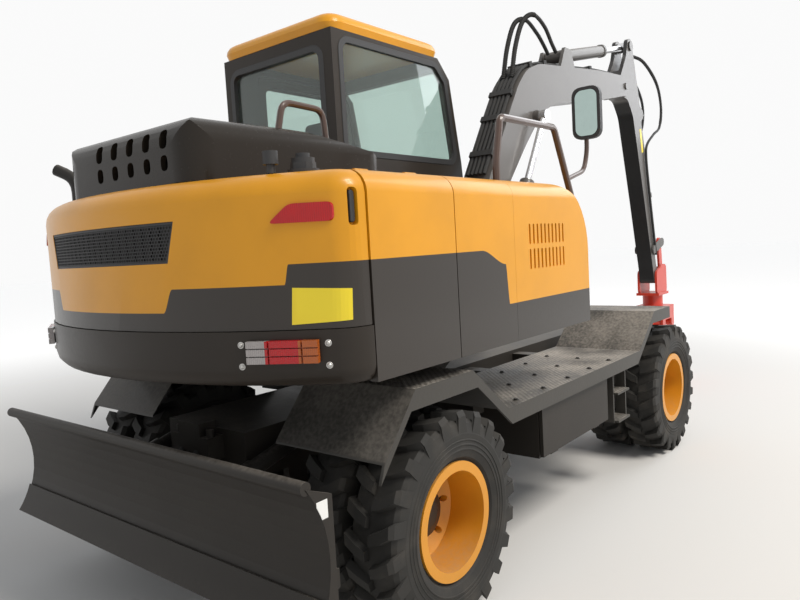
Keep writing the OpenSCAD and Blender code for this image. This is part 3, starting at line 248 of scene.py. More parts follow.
class Shader(Tree):
    """A material under construction, with its Principled shader."""

    def __init__(self, name: str) -> None:
        """Starts the material `name`."""
        self.material = bpy.data.materials.new(name)
        self.material.use_nodes = True
        super().__init__(self.material.node_tree)
        self.nodes.nodes.clear()
        self.body = self.add("ShaderNodeBsdfPrincipled")
        self.add("ShaderNodeOutputMaterial", {"Surface": self.body.outputs[0]})
        self.place = self.add("ShaderNodeTexCoord")

    def part(self, output: str, axis: Axis) -> Term:
        """One component of an output of Texture Coordinate."""
        split = self.add("ShaderNodeSeparateXYZ", {0: self.place.outputs[output]})
        return Term(self, split.outputs[axis.value])

    def coordinate(self, axis: Axis) -> Term:
        """One object coordinate."""
        return self.part("Object", axis)

    def facing(self, axis: Axis) -> Term:
        """One component of the surface normal."""
        return self.part("Normal", axis)

    def noise(self, scale: float, detail: float = 4.0) -> Term:
        """Noise on object coordinates.

        Args:
            scale: features per metre.
            detail: the number of finer layers.

        Returns:
            The noise value from 0 to 1.
        """
        sockets = {"Vector": self.place.outputs["Object"], "Scale": scale, "Detail": detail}
        return Term(self, self.add("ShaderNodeTexNoise", sockets).outputs["Fac"])

    def mix(self, factor: Term, first: Point | Socket, second: Point | Socket) -> Socket:
        """A colour between two.

        Args:
            factor: 0 for the first, 1 for the second.
            first: a colour or colour socket.
            second: a colour or colour socket.

        Returns:
            The colour socket.
        """
        sockets = {"Factor": factor, 6: first, 7: second}
        return self.add("ShaderNodeMix", sockets, data_type="RGBA", clamp_factor=True).outputs[2]

    def bump(self, height: Term, distance: float, strength: float) -> None:
        """Gives the surface a relief.

        Args:
            height: the height value.
            distance: metres for a height of 1.
            strength: the share of the effect.
        """
        sockets = {"Height": height, "Distance": distance, "Strength": strength}
        self.set({"Normal": self.result("ShaderNodeBump", sockets)})

    def set(self, values: dict[str, object]) -> None:
        """Sets or links sockets of the Principled shader, by name."""
        for name, value in values.items():
            self.feed(self.body.inputs[name], value)


class GroupTree(Tree):
    """A Geometry Nodes group with named inputs."""

    def __init__(self, name: str, inputs: dict[str, Kind]) -> None:
        """Starts the group.

        Args:
            name: its name.
            inputs: each input's kind, by its label.
        """
        super().__init__(bpy.data.node_groups.new(name, "GeometryNodeTree"))
        face = self.nodes.interface
        self.names = {label: face.new_socket(label, in_out="INPUT", socket_type=kind.value).identifier
                      for label, kind in inputs.items()}
        face.new_socket("Geometry", in_out="OUTPUT", socket_type=Kind.GEOMETRY.value)
        self.given = self.add("NodeGroupInput").outputs

    def term(self, label: str) -> Term:
        """An input as a term."""
        return Term(self, self.given[label])

    def shape_of(self, label: str) -> Socket:
        """The geometry of the object that an input names."""
        info = self.add("GeometryNodeObjectInfo", {"Object": self.given[label]}, transform_space="ORIGINAL")
        return info.outputs["Geometry"]

    def copies(self, points: Socket, form: Socket, rotation: Socket, selection: object = True) -> Socket:
        """Sets copies of a form on points and makes them real.

        Args:
            points: where the copies stand.
            form: what is copied.
            rotation: how each copy is turned.
            selection: which points take a copy.

        Returns:
            The copies' geometry.
        """
        sockets = {"Points": points, "Instance": form, "Rotation": rotation, "Selection": selection}
        placed = self.result("GeometryNodeInstanceOnPoints", sockets)
        return self.result("GeometryNodeRealizeInstances", {"Geometry": placed})

    def close(self, shape: Socket) -> None:
        """Puts the Material input on the shape and ends the group."""
        sockets = {"Geometry": shape, "Material": self.given["Material"]}
        self.add("NodeGroupOutput", {0: self.result("GeometryNodeSetMaterial", sockets)})

    def put_on(self, piece: Piece, values: dict[str, object]) -> None:
        """Adds the group to a piece as a live modifier.

        Args:
            piece: the piece that it changes.
            values: a value for each input, by its label.
        """
        maker = piece.modifiers.new(self.nodes.name, "NODES")
        maker.node_group = self.nodes
        for label, value in values.items():
            maker[self.names[label]] = value

    def make(self, name: str, values: dict[str, object], spent: Sequence[Piece] = ()) -> Piece:
        """Makes a piece as a plain mesh.

        Args:
            name: the piece's name.
            values: a value for each input, by its label.
            spent: helpers that are removed afterwards.

        Returns:
            The linked piece.
        """
        piece = bpy.data.objects.new(name, bpy.data.meshes.new(name))
        bpy.context.scene.collection.objects.link(piece)
        self.put_on(piece, values)
        graph = bpy.context.evaluated_depsgraph_get()
        mesh = bpy.data.meshes.new_from_object(piece.evaluated_get(graph))
        piece.modifiers.clear()
        piece.data = mesh
        for helper in spent:
            bpy.data.objects.remove(helper)
        return piece


class SmoothCurves(GroupTree):
    """Joins a CAD mesh's corners and shades its curves smooth."""

    SIZES = {"Sharp Angle": math.radians(30), "Join Distance": 1e-5}

    def __init__(self) -> None:
        """Builds the tree; edges that bend more than Sharp Angle stay sharp."""
        sizes = dict.fromkeys(self.SIZES, Kind.SIZE)
        super().__init__("smooth_curves", {"Geometry": Kind.GEOMETRY, **sizes})
        joined = self.result("GeometryNodeMergeByDistance",
                             {"Geometry": self.given["Geometry"], "Distance": self.given["Join Distance"]})
        sharp = self.number("GeometryNodeInputMeshEdgeAngle").above(self.term("Sharp Angle"))
        sockets = {"Mesh": joined, "Remove Custom": True, "Edge Sharpness": sharp, "Face Sharpness": False}
        self.add("NodeGroupOutput", {0: self.result("GeometryNodeSetMeshNormal", sockets, mode="SHARPNESS")})

    def smooth(self, node: Piece) -> None:
        """Adds the group to a CAD node, with normals that follow its large faces."""
        self.put_on(node, self.SIZES)
        node.modifiers.new("flat_faces_lead", "WEIGHTED_NORMAL").keep_sharp = True


class RingOfCopies(GroupTree):
    """Sets copies of one form round the Y axis."""

    def __init__(self, name: str) -> None:
        """Builds the tree; Turn is the first copy's angle."""
        super().__init__(name, {"Form": Kind.OBJECT, "Count": Kind.COUNT, "Turn": Kind.SIZE,
                                "Material": Kind.MATERIAL})
        points = self.result("GeometryNodePoints", {"Count": self.given["Count"]})
        index = self.number("GeometryNodeInputIndex")
        turn = self.vector(Y=index * CIRCLE / self.term("Count") + self.term("Turn"))
        self.close(self.copies(points, self.shape_of("Form"), turn))


class CopiesOnSpots(GroupTree):
    """Sets one form on spots, each copy turned outwards."""

    def __init__(self) -> None:
        """Builds the tree; the spots' attribute outward says where a copy's Z points."""
        super().__init__("copies_on_spots", {"Form": Kind.OBJECT, "Spots": Kind.OBJECT,
                                             "Material": Kind.MATERIAL})
        outward = self.result("GeometryNodeInputNamedAttribute", {"Name": "outward"},
                              data_type="FLOAT_VECTOR")
        turn = self.result("FunctionNodeAlignRotationToVector", {"Vector": outward}, axis="Z")
        self.close(self.copies(self.shape_of("Spots"), self.shape_of("Form"), turn))

    def spread(self, name: str, form: Piece, spots: Sequence[tuple[Vector, Vector]],
               material: bpy.types.Material) -> Piece:
        """Makes the copies as one plain mesh.

        Args:
            name: the new piece's name.
            form: the object that is copied, standing on its XY plane; it is removed.
            spots: each copy's place and outward direction.
            material: the finish.

        Returns:
            The linked piece.
        """
        mesh = bpy.data.meshes.new(name + "_spots")
        mesh.from_pydata([tuple(place) for place, _ in spots], [], [])
        outward = mesh.attributes.new("outward", "FLOAT_VECTOR", "POINT")
        for item, (_, direction) in zip(outward.data, spots):
            item.vector = direction
        marks = bpy.data.objects.new(name + "_spots", mesh)
        return self.make(name, {"Form": form, "Spots": marks, "Material": material}, (marks, form))


class HexSheet(GroupTree):
    """Lays hexagonal cells over a trapezoid on an upright arc."""

    SIZES = ("Pitch", "Arc Radius", "Arc Centre", "Low", "High", "Half Low", "Half High")

    def __init__(self) -> None:
        """Builds the tree; every second row stands half a pitch further along Y."""
        super().__init__("hex_sheet", {"Form": Kind.OBJECT, "Material": Kind.MATERIAL, "Rows": Kind.COUNT,
                                       "Columns": Kind.COUNT, **dict.fromkeys(self.SIZES, Kind.SIZE)})
        pitch, radius, centre, low, high, half_low, half_high = (self.term(label) for label in self.SIZES)
        rows, columns = self.term("Rows"), self.term("Columns")
        index = self.number("GeometryNodeInputIndex")
        row = ((index + 0.5) / columns).floor()
        column = index - row * columns
        y = (column - (columns - 1) / 2 + row.modulo(2.0) * 0.5) * pitch
        z = low + (row + 0.5) * pitch * (math.sqrt(3) / 2)
        x = centre - (radius * radius - y * y).power(0.5)
        half = half_low + (z - low) / (high - low) * (half_high - half_low) - pitch * 0.25
        inside = y.absolute().below(half) * (z + pitch * 0.3).below(high)
        turn = self.vector(Z=0.0 - (y / radius).arcsine())
        place = self.vector(X=x, Y=y, Z=z)
        points = self.result("GeometryNodePoints", {"Count": rows * columns, "Position": place})
        self.close(self.copies(points, self.shape_of("Form"), turn, inside))


class HoseMaker(GroupTree):
    """Makes a round hose along a line, with guard rings round it."""

    def __init__(self) -> None:
        """Builds the tree; Ring Share is how much of the hose has rings, from its start."""
        sizes = dict.fromkeys(("Radius", "Ring Step", "Ring Share"), Kind.SIZE)
        super().__init__("hose_along_path", {"Path": Kind.OBJECT, "Material": Kind.MATERIAL, **sizes})
        radius = self.term("Radius")
        line = self.result("GeometryNodeMeshToCurve", {"Mesh": self.shape_of("Path")})
        tube = self.along(line, self.circle(12, radius))
        part = self.result("GeometryNodeTrimCurve", {"Curve": line, "End": self.given["Ring Share"]},
                           mode="FACTOR")
        places = self.add("GeometryNodeCurveToPoints", {"Curve": part, "Length": self.given["Ring Step"]},
                          mode="LENGTH").outputs
        ring = self.along(self.circle(14, radius * 1.04), self.circle(6, radius * 0.22))
        rings = self.copies(places["Points"], ring, places["Rotation"])
        both = self.add("GeometryNodeJoinGeometry")
        for shape in (tube, rings):
            self.feed(both.inputs[0], shape)
        self.close(both.outputs[0])

    def circle(self, corners: int, radius: Term) -> Socket:
        """A circle with so many corners."""
        return self.result("GeometryNodeCurvePrimitiveCircle", {"Resolution": corners, "Radius": radius})

    def along(self, line: Socket, section: Socket) -> Socket:
        """A section that is run along a line, with closed ends."""
        sockets = {"Curve": line, "Profile Curve": section, "Fill Caps": True}
        return self.result("GeometryNodeCurveToMesh", sockets)

    def hose(self, name: str, points: Sequence[Vector], radius: float, material: bpy.types.Material,
             ring_step: float, ring_share: float) -> Piece:
        """Makes one hose as a plain mesh.

        Args:
            name: the piece's name.
            points: what the hose passes through.
            radius: its radius.
            material: its finish.
            ring_step: the distance between guard rings.
            ring_share: the share of its length that has rings, from its start.

        Returns:
            The linked piece.
        """
        line = sweep(points)
        mesh = bpy.data.meshes.new(name + "_path")
        mesh.from_pydata([tuple(p) for p in line], [(i, i + 1) for i in range(len(line) - 1)], [])
        path = bpy.data.objects.new(name + "_path", mesh)
        values = {"Path": path, "Radius": radius, "Ring Step": ring_step, "Ring Share": ring_share,
                  "Material": material}
        piece = self.make(name, values, (path,))
        piece.data.shade_smooth()
        piece.data.set_sharp_from_angle(angle=math.radians(50))
        return piece


# Finishes


def scaled(colour: Point, factor: float) -> Point:
    """A colour that is darker or lighter by a factor."""
    return tuple(min(1.0, factor * part) for part in colour)


@dataclass(frozen=True)
class Paint:
    """Sprayed paint with orange peel, a clear coat and dust on what faces up."""

    name: str
    colour: Point
    roughness: float = 0.35
    coat: float = 0.3
    dust: float = 0.25
    dust_colour: Point = (0.36, 0.33, 0.29)
    specular: float = 0.3

    def tone(self, tree: Shader, cloud: Term) -> Socket:
        """The paint's colour before any dust.

        Args:
            tree: the shader under construction.
            cloud: broad noise that fades the colour.

        Returns:
            The colour socket.
        """
        return tree.mix(cloud.step(0.35, 0.75) * 0.5, self.colour, scaled(self.colour, 0.8))

    def relief(self, tree: Shader, speck: Term) -> None:
        """Gives the paint its orange peel."""
        tree.bump(speck, 0.0004, 0.35)

    def material(self) -> bpy.types.Material:
        """The finished material."""
        tree = Shader(self.name)
        cloud, speck = tree.noise(3.5, 5.0), tree.noise(60.0, 3.0)
        lying = tree.facing(Axis.Z).step(0.4, 1.0)
        dusty = lying * (cloud * 0.6 + speck * 0.4).step(0.3, 0.75) * self.dust
        tree.set({"Base Color": tree.mix(dusty, self.tone(tree, cloud), self.dust_colour),
                  "Roughness": dusty * 0.5 + (self.roughness - 0.04) + speck * 0.08,
                  "Coat Weight": self.coat - dusty * self.coat,
                  "Coat Roughness": 0.12, "Specular IOR Level": self.specular})
        self.relief(tree, speck)
        return tree.material


@dataclass(frozen=True)
class Livery(Paint):
    """Two colours, parted by a line that steps up along the tail and falls towards the nose."""

    lower: Point = (0.031, 0.025, 0.020)
    line_z: float = 1.322
    rises: tuple[Point, ...] = ((0.372, 0.418, 0.082), (0.818, 0.834, 0.066))
    falls: tuple[Point, ...] = ((0.24, 0.43, 0.064), (0.425, 0.447, 0.172))
    blur: float = 0.0012

    def tone(self, tree: Shader, cloud: Term) -> Socket:
        """The upper colour above the line and the lower one below it."""
        x, side = tree.coordinate(Axis.X) - SHIFT_X, tree.coordinate(Axis.Y).absolute()
        line = self.line_z
        for start, end, rise in self.rises:
            line = side.step(start, end) * rise + line
        for start, end, fall in self.falls:
            line = line - x.step(start, end) * fall
        above = (tree.coordinate(Axis.Z) - line).step(-self.blur, self.blur)
        return tree.mix(above, self.lower, super().tone(tree, cloud))


@dataclass(frozen=True)
class Shaded(Paint):
    """Paint with painted shade: its faces towards the rear are darker, as on the arm."""

    shade: Point = (0.020, 0.019, 0.019)

    def tone(self, tree: Shader, cloud: Term) -> Socket:
        """The painted shade on what faces the rear."""
        # painted shade: faces turned to the rear take the darker colour
        rear = (0.0 - tree.facing(Axis.X)).step(0.45, 0.75)
        return tree.mix(rear, super().tone(tree, cloud), self.shade)


@dataclass(frozen=True)
class Lozenge(Paint):
    """Paint on tread plate, whose level faces carry a crossed pattern."""

    pitch: float = 0.060
    worn: Point = (0.44, 0.41, 0.37)

    def bars(self, tree: Shader) -> Term:
        """1 on the raised bars of level faces, which alternate in direction, and 0 between them."""
        x, y = (tree.coordinate(axis) * (CIRCLE / self.pitch) for axis in (Axis.X, Axis.Y))
        crossed = (x + y).sine() * (x - y).sine()
        return crossed.absolute().step(0.45, 0.75) * tree.facing(Axis.Z).step(0.8, 0.95)

    def tone(self, tree: Shader, cloud: Term) -> Socket:
        """Paint that is worn on the bars."""
        wear = self.bars(tree) * cloud.step(0.25, 0.65) * 0.75
        return tree.mix(wear, super().tone(tree, cloud), self.worn)

    def relief(self, tree: Shader, speck: Term) -> None:
        """Raises the bars."""
        tree.bump(self.bars(tree) + speck * 0.15, 0.003, 1.0)


@dataclass(frozen=True)
class RimPaint(Paint):
    """Wheel paint, with a dark hub and dark nuts."""

    hub_y: float = 0.7725
    disc_half: float = 0.0206
    reach: float = 0.140
    dark: Point = (0.028, 0.025, 0.022)

    def tone(self, tree: Shader, cloud: Term) -> Socket:
        """The dark colour on what stands out from the disc's middle."""
        x, z = tree.coordinate(Axis.X) - SHIFT_X, tree.coordinate(Axis.Z) - AXLE_Z
        from_axle = x - x.above(WHEELBASE / 2) * WHEELBASE
        radius = (from_axle * from_axle + z * z).power(0.5)
        out = tree.coordinate(Axis.Y).absolute().above(self.hub_y + self.disc_half)
        return tree.mix(radius.below(self.reach) * out, super().tone(tree, cloud), self.dark)


@dataclass(frozen=True)
class Lens:
    """Fluted lamp lenses: amber outside, red in the middle, clear inside, and red reflectors above."""

    name: str
    red: Point = (0.52, 0.003, 0.006)
    amber: Point = (0.48, 0.11, 0.012)
    clear: Point = (0.40, 0.38, 0.37)
    dirt: Point = (0.1, 0.02, 0.02)
    amber_y: float = 0.8695
    clear_y: float = 0.768
    reflector_z: float = 1.5
    flute_pitch: float = 0.006

    def material(self) -> bpy.types.Material:
        """The finished material."""
        tree = Shader(self.name)
        side, high = tree.coordinate(Axis.Y).absolute(), tree.coordinate(Axis.Z).above(self.reflector_z)
        inner = tree.mix(side.below(self.clear_y), self.red, self.clear)
        cluster = tree.mix(side.above(self.amber_y), inner, self.amber)
        lens = tree.mix(high, cluster, self.red)
        tree.set({"Base Color": tree.mix(tree.noise(25.0) * 0.3, lens, self.dirt),
                  "Roughness": 0.14 + tree.noise(90.0) * 0.1,
                  "Coat Weight": 0.35, "Specular IOR Level": 0.25})
        tree.bump((side * (CIRCLE / self.flute_pitch)).sine(), 0.0009, 0.4)
        return tree.material


@dataclass(frozen=True)
class Rubber:
    """Dull black rubber with dust and a fine grain."""

    name: str
    colour: Point = (0.016, 0.015, 0.013)
    dust_colour: Point = (0.080, 0.070, 0.058)
    dust: float = 0.55

    def material(self) -> bpy.types.Material:
        """The finished material."""
        tree = Shader(self.name)
        cloud = tree.noise(7.0, 6.0)
        tree.set({"Base Color": tree.mix(cloud.step(0.42, 0.8) * self.dust, self.colour, self.dust_colour),
                  "Roughness": 0.62 + cloud * 0.25})
        tree.bump(tree.noise(160.0, 3.0), 0.0006, 0.4)
        return tree.material


@dataclass(frozen=True)
class BareMetal:
    """Ground or plated steel."""

    name: str
    colour: Point = (0.72, 0.72, 0.73)
    roughness: float = 0.12

    def material(self) -> bpy.types.Material:
        """The finished material."""
        tree = Shader(self.name)
        streak = tree.noise(30.0, 4.0)
        tree.set({"Base Color": tree.mix(streak * 0.4, self.colour, scaled(self.colour, 0.75)),
                  "Metallic": 1.0, "Roughness": self.roughness + streak * 0.12})
        return tree.material


@dataclass(frozen=True)
class WindowGlass:
    """Lightly tinted safety glass."""

    name: str
    colour: Point = (0.66, 0.77, 0.73)

    def material(self) -> bpy.types.Material:
        """The finished material."""
        tree = Shader(self.name)
        film = tree.noise(5.0, 5.0).step(0.5, 0.9)
        tree.set({"Base Color": self.colour, "Roughness": film * 0.06 + 0.01,
                  "Transmission Weight": 0.96, "IOR": 1.45})
        return tree.material


@dataclass(frozen=True)
class Plastic:
    """Moulded plastic with a fine grain."""

    name: str
    colour: Point = (0.02, 0.02, 0.021)
    roughness: float = 0.5

    def material(self) -> bpy.types.Material:
        """The finished material."""
        tree = Shader(self.name)
        grain, cloud = tree.noise(220.0, 2.0), tree.noise(6.0, 4.0)
        tree.set({"Base Color": tree.mix(cloud * 0.5, self.colour, scaled(self.colour, 1.25)),
                  "Roughness": self.roughness + grain * 0.1})
        tree.bump(grain, 0.0003, 0.3)
        return tree.material


Finish = Paint | Lens | Rubber | BareMetal | WindowGlass | Plastic
YELLOW = Paint("machine_yellow", (0.72, 0.315, 0.008), 0.36, 0.2, 0.08)
TWO_TONE = Livery("two_tone_livery", (0.72, 0.315, 0.008), 0.36, 0.2, 0.08)
RIM_YELLOW = RimPaint("rim_yellow", (0.74, 0.31, 0.020), 0.38, 0.3, 0.35)
GREY = Paint("body_grey", (0.031, 0.025, 0.020), 0.40, 0.12, 0.16, specular=0.15)
HOOD_GREY = Paint("hood_grey", (0.021, 0.017, 0.013), 0.26, 0.12, 0.04, specular=0.15)
CHASSIS_GREY = Paint("chassis_grey", (0.034, 0.030, 0.026), 0.48, 0.08, 0.35, specular=0.15)
DECK_GREY = Lozenge("deck_grey", (0.050, 0.046, 0.040), 0.5, 0.1, 0.95, (0.44, 0.40, 0.35))
# Lighter than the body grey: painted light for the lit sides of the boom, its rocker and its barrels
LIT_BOOM_GREY = Paint("boom_grey", (0.105, 0.098, 0.092), 0.42, 0.2, 0.2)
# The arm: the boom's lighter grey as painted light, with painted shade on its rear faces
ARM_GREY = Shaded("arm_grey", (0.105, 0.098, 0.092), 0.42, 0.2, 0.2)
BRONZE = Paint("rail_bronze", (0.075, 0.042, 0.030), 0.32, 0.5, 0.15)
BLACK_STEEL = Paint("black_steel", (0.022, 0.020, 0.018), 0.45, 0.08, 0.3, specular=0.2)
RED = Paint("tool_red", (0.62, 0.055, 0.03), 0.36, 0.35, 0.25)
TYRE_RUBBER = Rubber("tyre_rubber")
HOSE_RUBBER = Rubber("hose_rubber", (0.018, 0.018, 0.018), (0.06, 0.058, 0.055), 0.3)
CHROME = BareMetal("rod_chrome")
STEEL = BareMetal("plated_steel", (0.48, 0.47, 0.45), 0.32)
CAB_GLASS = WindowGlass("window_glass")
BLACK_PLASTIC = Plastic("black_plastic")
SEAT_CLOTH = Plastic("seat_cloth", (0.03, 0.03, 0.034), 0.85)
LAMP_LENS = Lens("lamp_lens")
MIRROR_FACE = BareMetal("mirror_face", (0.42, 0.52, 0.49), 0.02)
BLANK_YELLOW = Plastic("blank_yellow_film", (0.80, 0.62, 0.02), 0.3)
BLANK_WHITE = Plastic("blank_white_film", (0.78, 0.78, 0.76), 0.35)


def wheel_nodes(stem: str) -> tuple[str, ...]:
    """The names of the four nodes, one at each wheel, that start with stem."""
    return tuple(f"{stem}_{axle.value}_{side.word}" for axle in Axle for side in Side)


NODE_FINISH = {
    YELLOW: ("top_cover", "cab_roof"),
    TWO_TONE: ("tail_cover", "right_door", "right_tank_panel", "right_front_housing", "left_door"),
    RIM_YELLOW: wheel_nodes("rims"),
    GREY: ("counterweight", "upper_frame", "cab_frame", "cab_door"),
    HOOD_GREY: ("hood",),
    CHASSIS_GREY: ("chassis_frame", "side_boxes", "toolbox_door", "blade"),
    DECK_GREY: ("side_platforms", "steps"),
    LIT_BOOM_GREY: ("boom", "rocker", "lift_barrels", "crowd_barrel", "tool_barrel"),
    ARM_GREY: ("arm",),
    BRONZE: ("handrail", "hood_rail"),
    BLACK_STEEL: ("rear_axle", "front_axle", "knuckle_left", "knuckle_right", "engine_block", "exhaust_pipe",
                  "blade_barrels", "tail_grille"),
    RED: ("tool_link", "tool_head", "grapple_frame", "jaw_front", "jaw_rear"),
    TYRE_RUBBER: wheel_nodes("tyres"),
    HOSE_RUBBER: ("boom_pipes",),
    CHROME: ("blade_rods", "lift_rods", "crowd_rod", "tool_rod"),
    STEEL: ("tie_rod",),
    CAB_GLASS: ("cab_glass", "door_glass"),
    BLACK_PLASTIC: ("filler_caps", "mirror", "console"),
    SEAT_CLOTH: ("seat",),
    LAMP_LENS: ("tail_lamps",),
}


class Finisher:
    """Makes each finish once and puts it on nodes and pieces."""

    def __init__(self) -> None:
        """Starts with no material made."""
        self.made: dict[Finish, bpy.types.Material] = {}

    def of(self, finish: Finish) -> bpy.types.Material:
        """The material of a finish, made on first use."""
        if finish not in self.made:
            self.made[finish] = finish.material()
        return self.made[finish]

    def dress_nodes(self) -> None:
        """Gives every CAD node its finish and smooth curves."""
        curves = SmoothCurves()
        for finish, names in NODE_FINISH.items():
            for name in names:
                node = frame["nodes"][name]
                node.data.materials.clear()
                node.data.materials.append(self.of(finish))
                curves.smooth(node)
                LOG.info("node %s: %s", name, finish.name)


# Meshes


def at(x: float, y: float, z: float) -> Vector:
    """A point of the frame, with x measured from the rear axle."""
    return Vector((x + SHIFT_X, y, z))


def rides_with(piece: Piece, node: str) -> None:
    """Lets a piece move with the body of a CAD node."""
    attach(piece, body_of(frame["nodes"][node])[0])
    LOG.info("piece %s moves with %s", piece.name, node)


def solid(name: str, build: Callable[[Shape], None], material: bpy.types.Material) -> Piece:
    """Makes an object from a function that fills a bmesh.

    Args:
        name: the piece's name.
        build: fills the bmesh, in metres in the frame.
        material: its finish.

    Returns:
        The linked object, at the origin.
    """
    mesh = bpy.data.meshes.new(name)
    shape = bmesh.new()
    build(shape)
    bmesh.ops.remove_doubles(shape, verts=shape.verts, dist=1e-5)
    bmesh.ops.recalc_face_normals(shape, faces=shape.faces)
    shape.to_mesh(mesh)
    shape.free()
    mesh.materials.append(material)
    piece = bpy.data.objects.new(name, mesh)
    bpy.context.scene.collection.objects.link(piece)
    return piece


def join_rings(shape: Shape, rings: Sequence[Sequence[bmesh.types.BMVert]], closed: bool = False) -> None:
    """Joins rings of equally many corners with faces.

    Args:
        shape: the bmesh that holds the corners.
        rings: the rings, in order.
        closed: True joins the last ring to the first as well.
    """
    after = [*rings[1:], rings[0]] if closed else rings[1:]
    for here, there in zip(rings, after):
        for k in range(len(here)):
            m = (k + 1) % len(here)
            shape.faces.new((here[k], here[m], there[m], there[k]))


def join_rows(shape: Shape, rows: Sequence[Sequence[bmesh.types.BMVert]]) -> None:
    """Joins rows of equally many corners with faces, as a sheet."""
    for here, there in zip(rows, rows[1:]):
        for k in range(len(here) - 1):
            shape.faces.new((here[k], there[k], there[k + 1], here[k + 1]))


def lathe(shape: Shape, profile: Outline, count: int, place: Matrix) -> None:
    """Turns a closed profile about the local Y axis.

    Args:
        shape: the bmesh to fill.
        profile: (radius, y) points.
        count: steps round the axis.
        place: puts the form in the frame.
    """
    rings = []
    for step in range(count):
        angle = CIRCLE * step / count
        rings.append([shape.verts.new(place @ Vector((r * math.sin(angle), y, r * math.cos(angle))))
                      for r, y in profile])
    join_rings(shape, rings, closed=True)


def sweep(points: Sequence[Vector], steps: int = 10) -> list[Vector]:
    """Passes a smooth line through points.

    Args:
        points: what the line goes through.
        steps: line pieces between two of them.

    Returns:
        The points of the line.
    """
    ends = [2 * points[0] - points[1], *points, 2 * points[-1] - points[-2]]
    line = []
    for a, b, c, d in zip(ends, ends[1:], ends[2:], ends[3:]):
        for k in range(steps):
            t = k / steps
            square, cube = t * t * (2 * a - 5 * b + 4 * c - d), t ** 3 * (3 * b - a - 3 * c + d)
            line.append(0.5 * (2 * b + t * (c - a) + square + cube))
    return [*line, points[-1].copy()]


def rounded(half_x: float, half_y: float, radius: float, steps: int = 5) -> Outline:
    """The outline of a rectangle with round corners, about its middle."""
    outline = []
    for quarter, (sx, sy) in enumerate(((1, 1), (-1, 1), (-1, -1), (1, -1))):
        for k in range(steps + 1):
            angle = math.pi / 2 * (quarter + k / steps)
            outline.append((sx * (half_x - radius) + radius * math.cos(angle),
                            sy * (half_y - radius) + radius * math.sin(angle)))
    return outline


def disc(radius: float, steps: int = 4) -> Outline:
    """The outline of a small round plate, about its middle."""
    gap = 0.0001         # keeps the ends of its quarters apart
    return rounded(radius, radius, radius - gap, steps)


def softened(corners: Outline, radius: float, steps: int = 6) -> Outline:
    """The outline of a convex polygon with round corners.

    Args:
        corners: its corners in order.
        radius: the radius of every corner.
        steps: line pieces in each corner.

    Returns:
        The outline's points.
    """
    outline = []
    for before, corner, after in zip((corners[-1], *corners), corners, (*corners[1:], corners[0])):
        here = Vector(corner)
        back, ahead = (Vector(before) - here).normalized(), (Vector(after) - here).normalized()
        half = back.angle(ahead) / 2
        centre = here + (back + ahead).normalized() * (radius / math.sin(half))
        start, end = (here + way * (radius / math.tan(half)) - centre for way in (back, ahead))
        first = math.atan2(start.y, start.x)
        turn = math.remainder(math.atan2(end.y, end.x) - first, CIRCLE)
        for k in range(steps + 1):
            angle = first + turn * k / steps
            outline.append((centre.x + radius * math.cos(angle), centre.y + radius * math.sin(angle)))
    return outline


def plate(shape: Shape, outline: Outline, depth: float, place: Matrix, edge: float = 0.0) -> None:
    """Adds a flat plate that stands on the local XY plane.

    Args:
        shape: the bmesh to fill.
        outline: (x, y) points.
        depth: its thickness along local Z.
        place: puts it in the frame.
        edge: how far its upper edge is drawn in.
    """
    rings = []
    for z, inset in ((0.0, 0.0), (depth - edge, 0.0), (depth, edge)):
        ring = []
        for x, y in outline:
            length = math.hypot(x, y) or 1.0
            ring.append(shape.verts.new(place @ Vector((x - inset * x / length, y - inset * y / length, z))))
        rings.append(ring)
    join_rings(shape, rings)
    shape.faces.new(list(reversed(rings[0])))
    shape.faces.new(rings[-1])


def band_along(shape: Shape, outline: Outline, section: Outline,
               where: Callable[[float, float, float], Vector]) -> None:
    """Runs a closed section along a flat outline.

    Args:
        shape: the bmesh to fill.
        outline: the (u, v) points of a closed line.
        section: (outwards, raised) points.
        where: the place of (u, v, raised) in the frame.
    """
    area = sum(a[0] * b[1] - b[0] * a[1] for a, b in zip(outline, outline[1:] + outline[:1]))
    turn = 1 if area > 0 else -1
    rings = []
    for k, (u, v) in enumerate(outline):
        along = (Vector(outline[(k + 1) % len(outline)]) - Vector(outline[k - 1])).normalized()
        out_u, out_v = turn * along.y, -turn * along.x
        rings.append([shape.verts.new(where(u + out_u * o, v + out_v * o, raised)) for o, raised in section])
    join_rings(shape, rings, closed=True)


def facing_to(place: Vector, normal: Vector, up: Vector = UP) -> Matrix:
    """A matrix that puts the local XY plane at place, with its Z along normal."""
    z = normal.normalized()
    level = up if abs(up.dot(z)) < 0.98 else Vector((1, 0, 0))
    x = level.cross(z).normalized()
    return Matrix.Translation(place) @ Matrix((x, z.cross(x), z)).transposed().to_4x4()


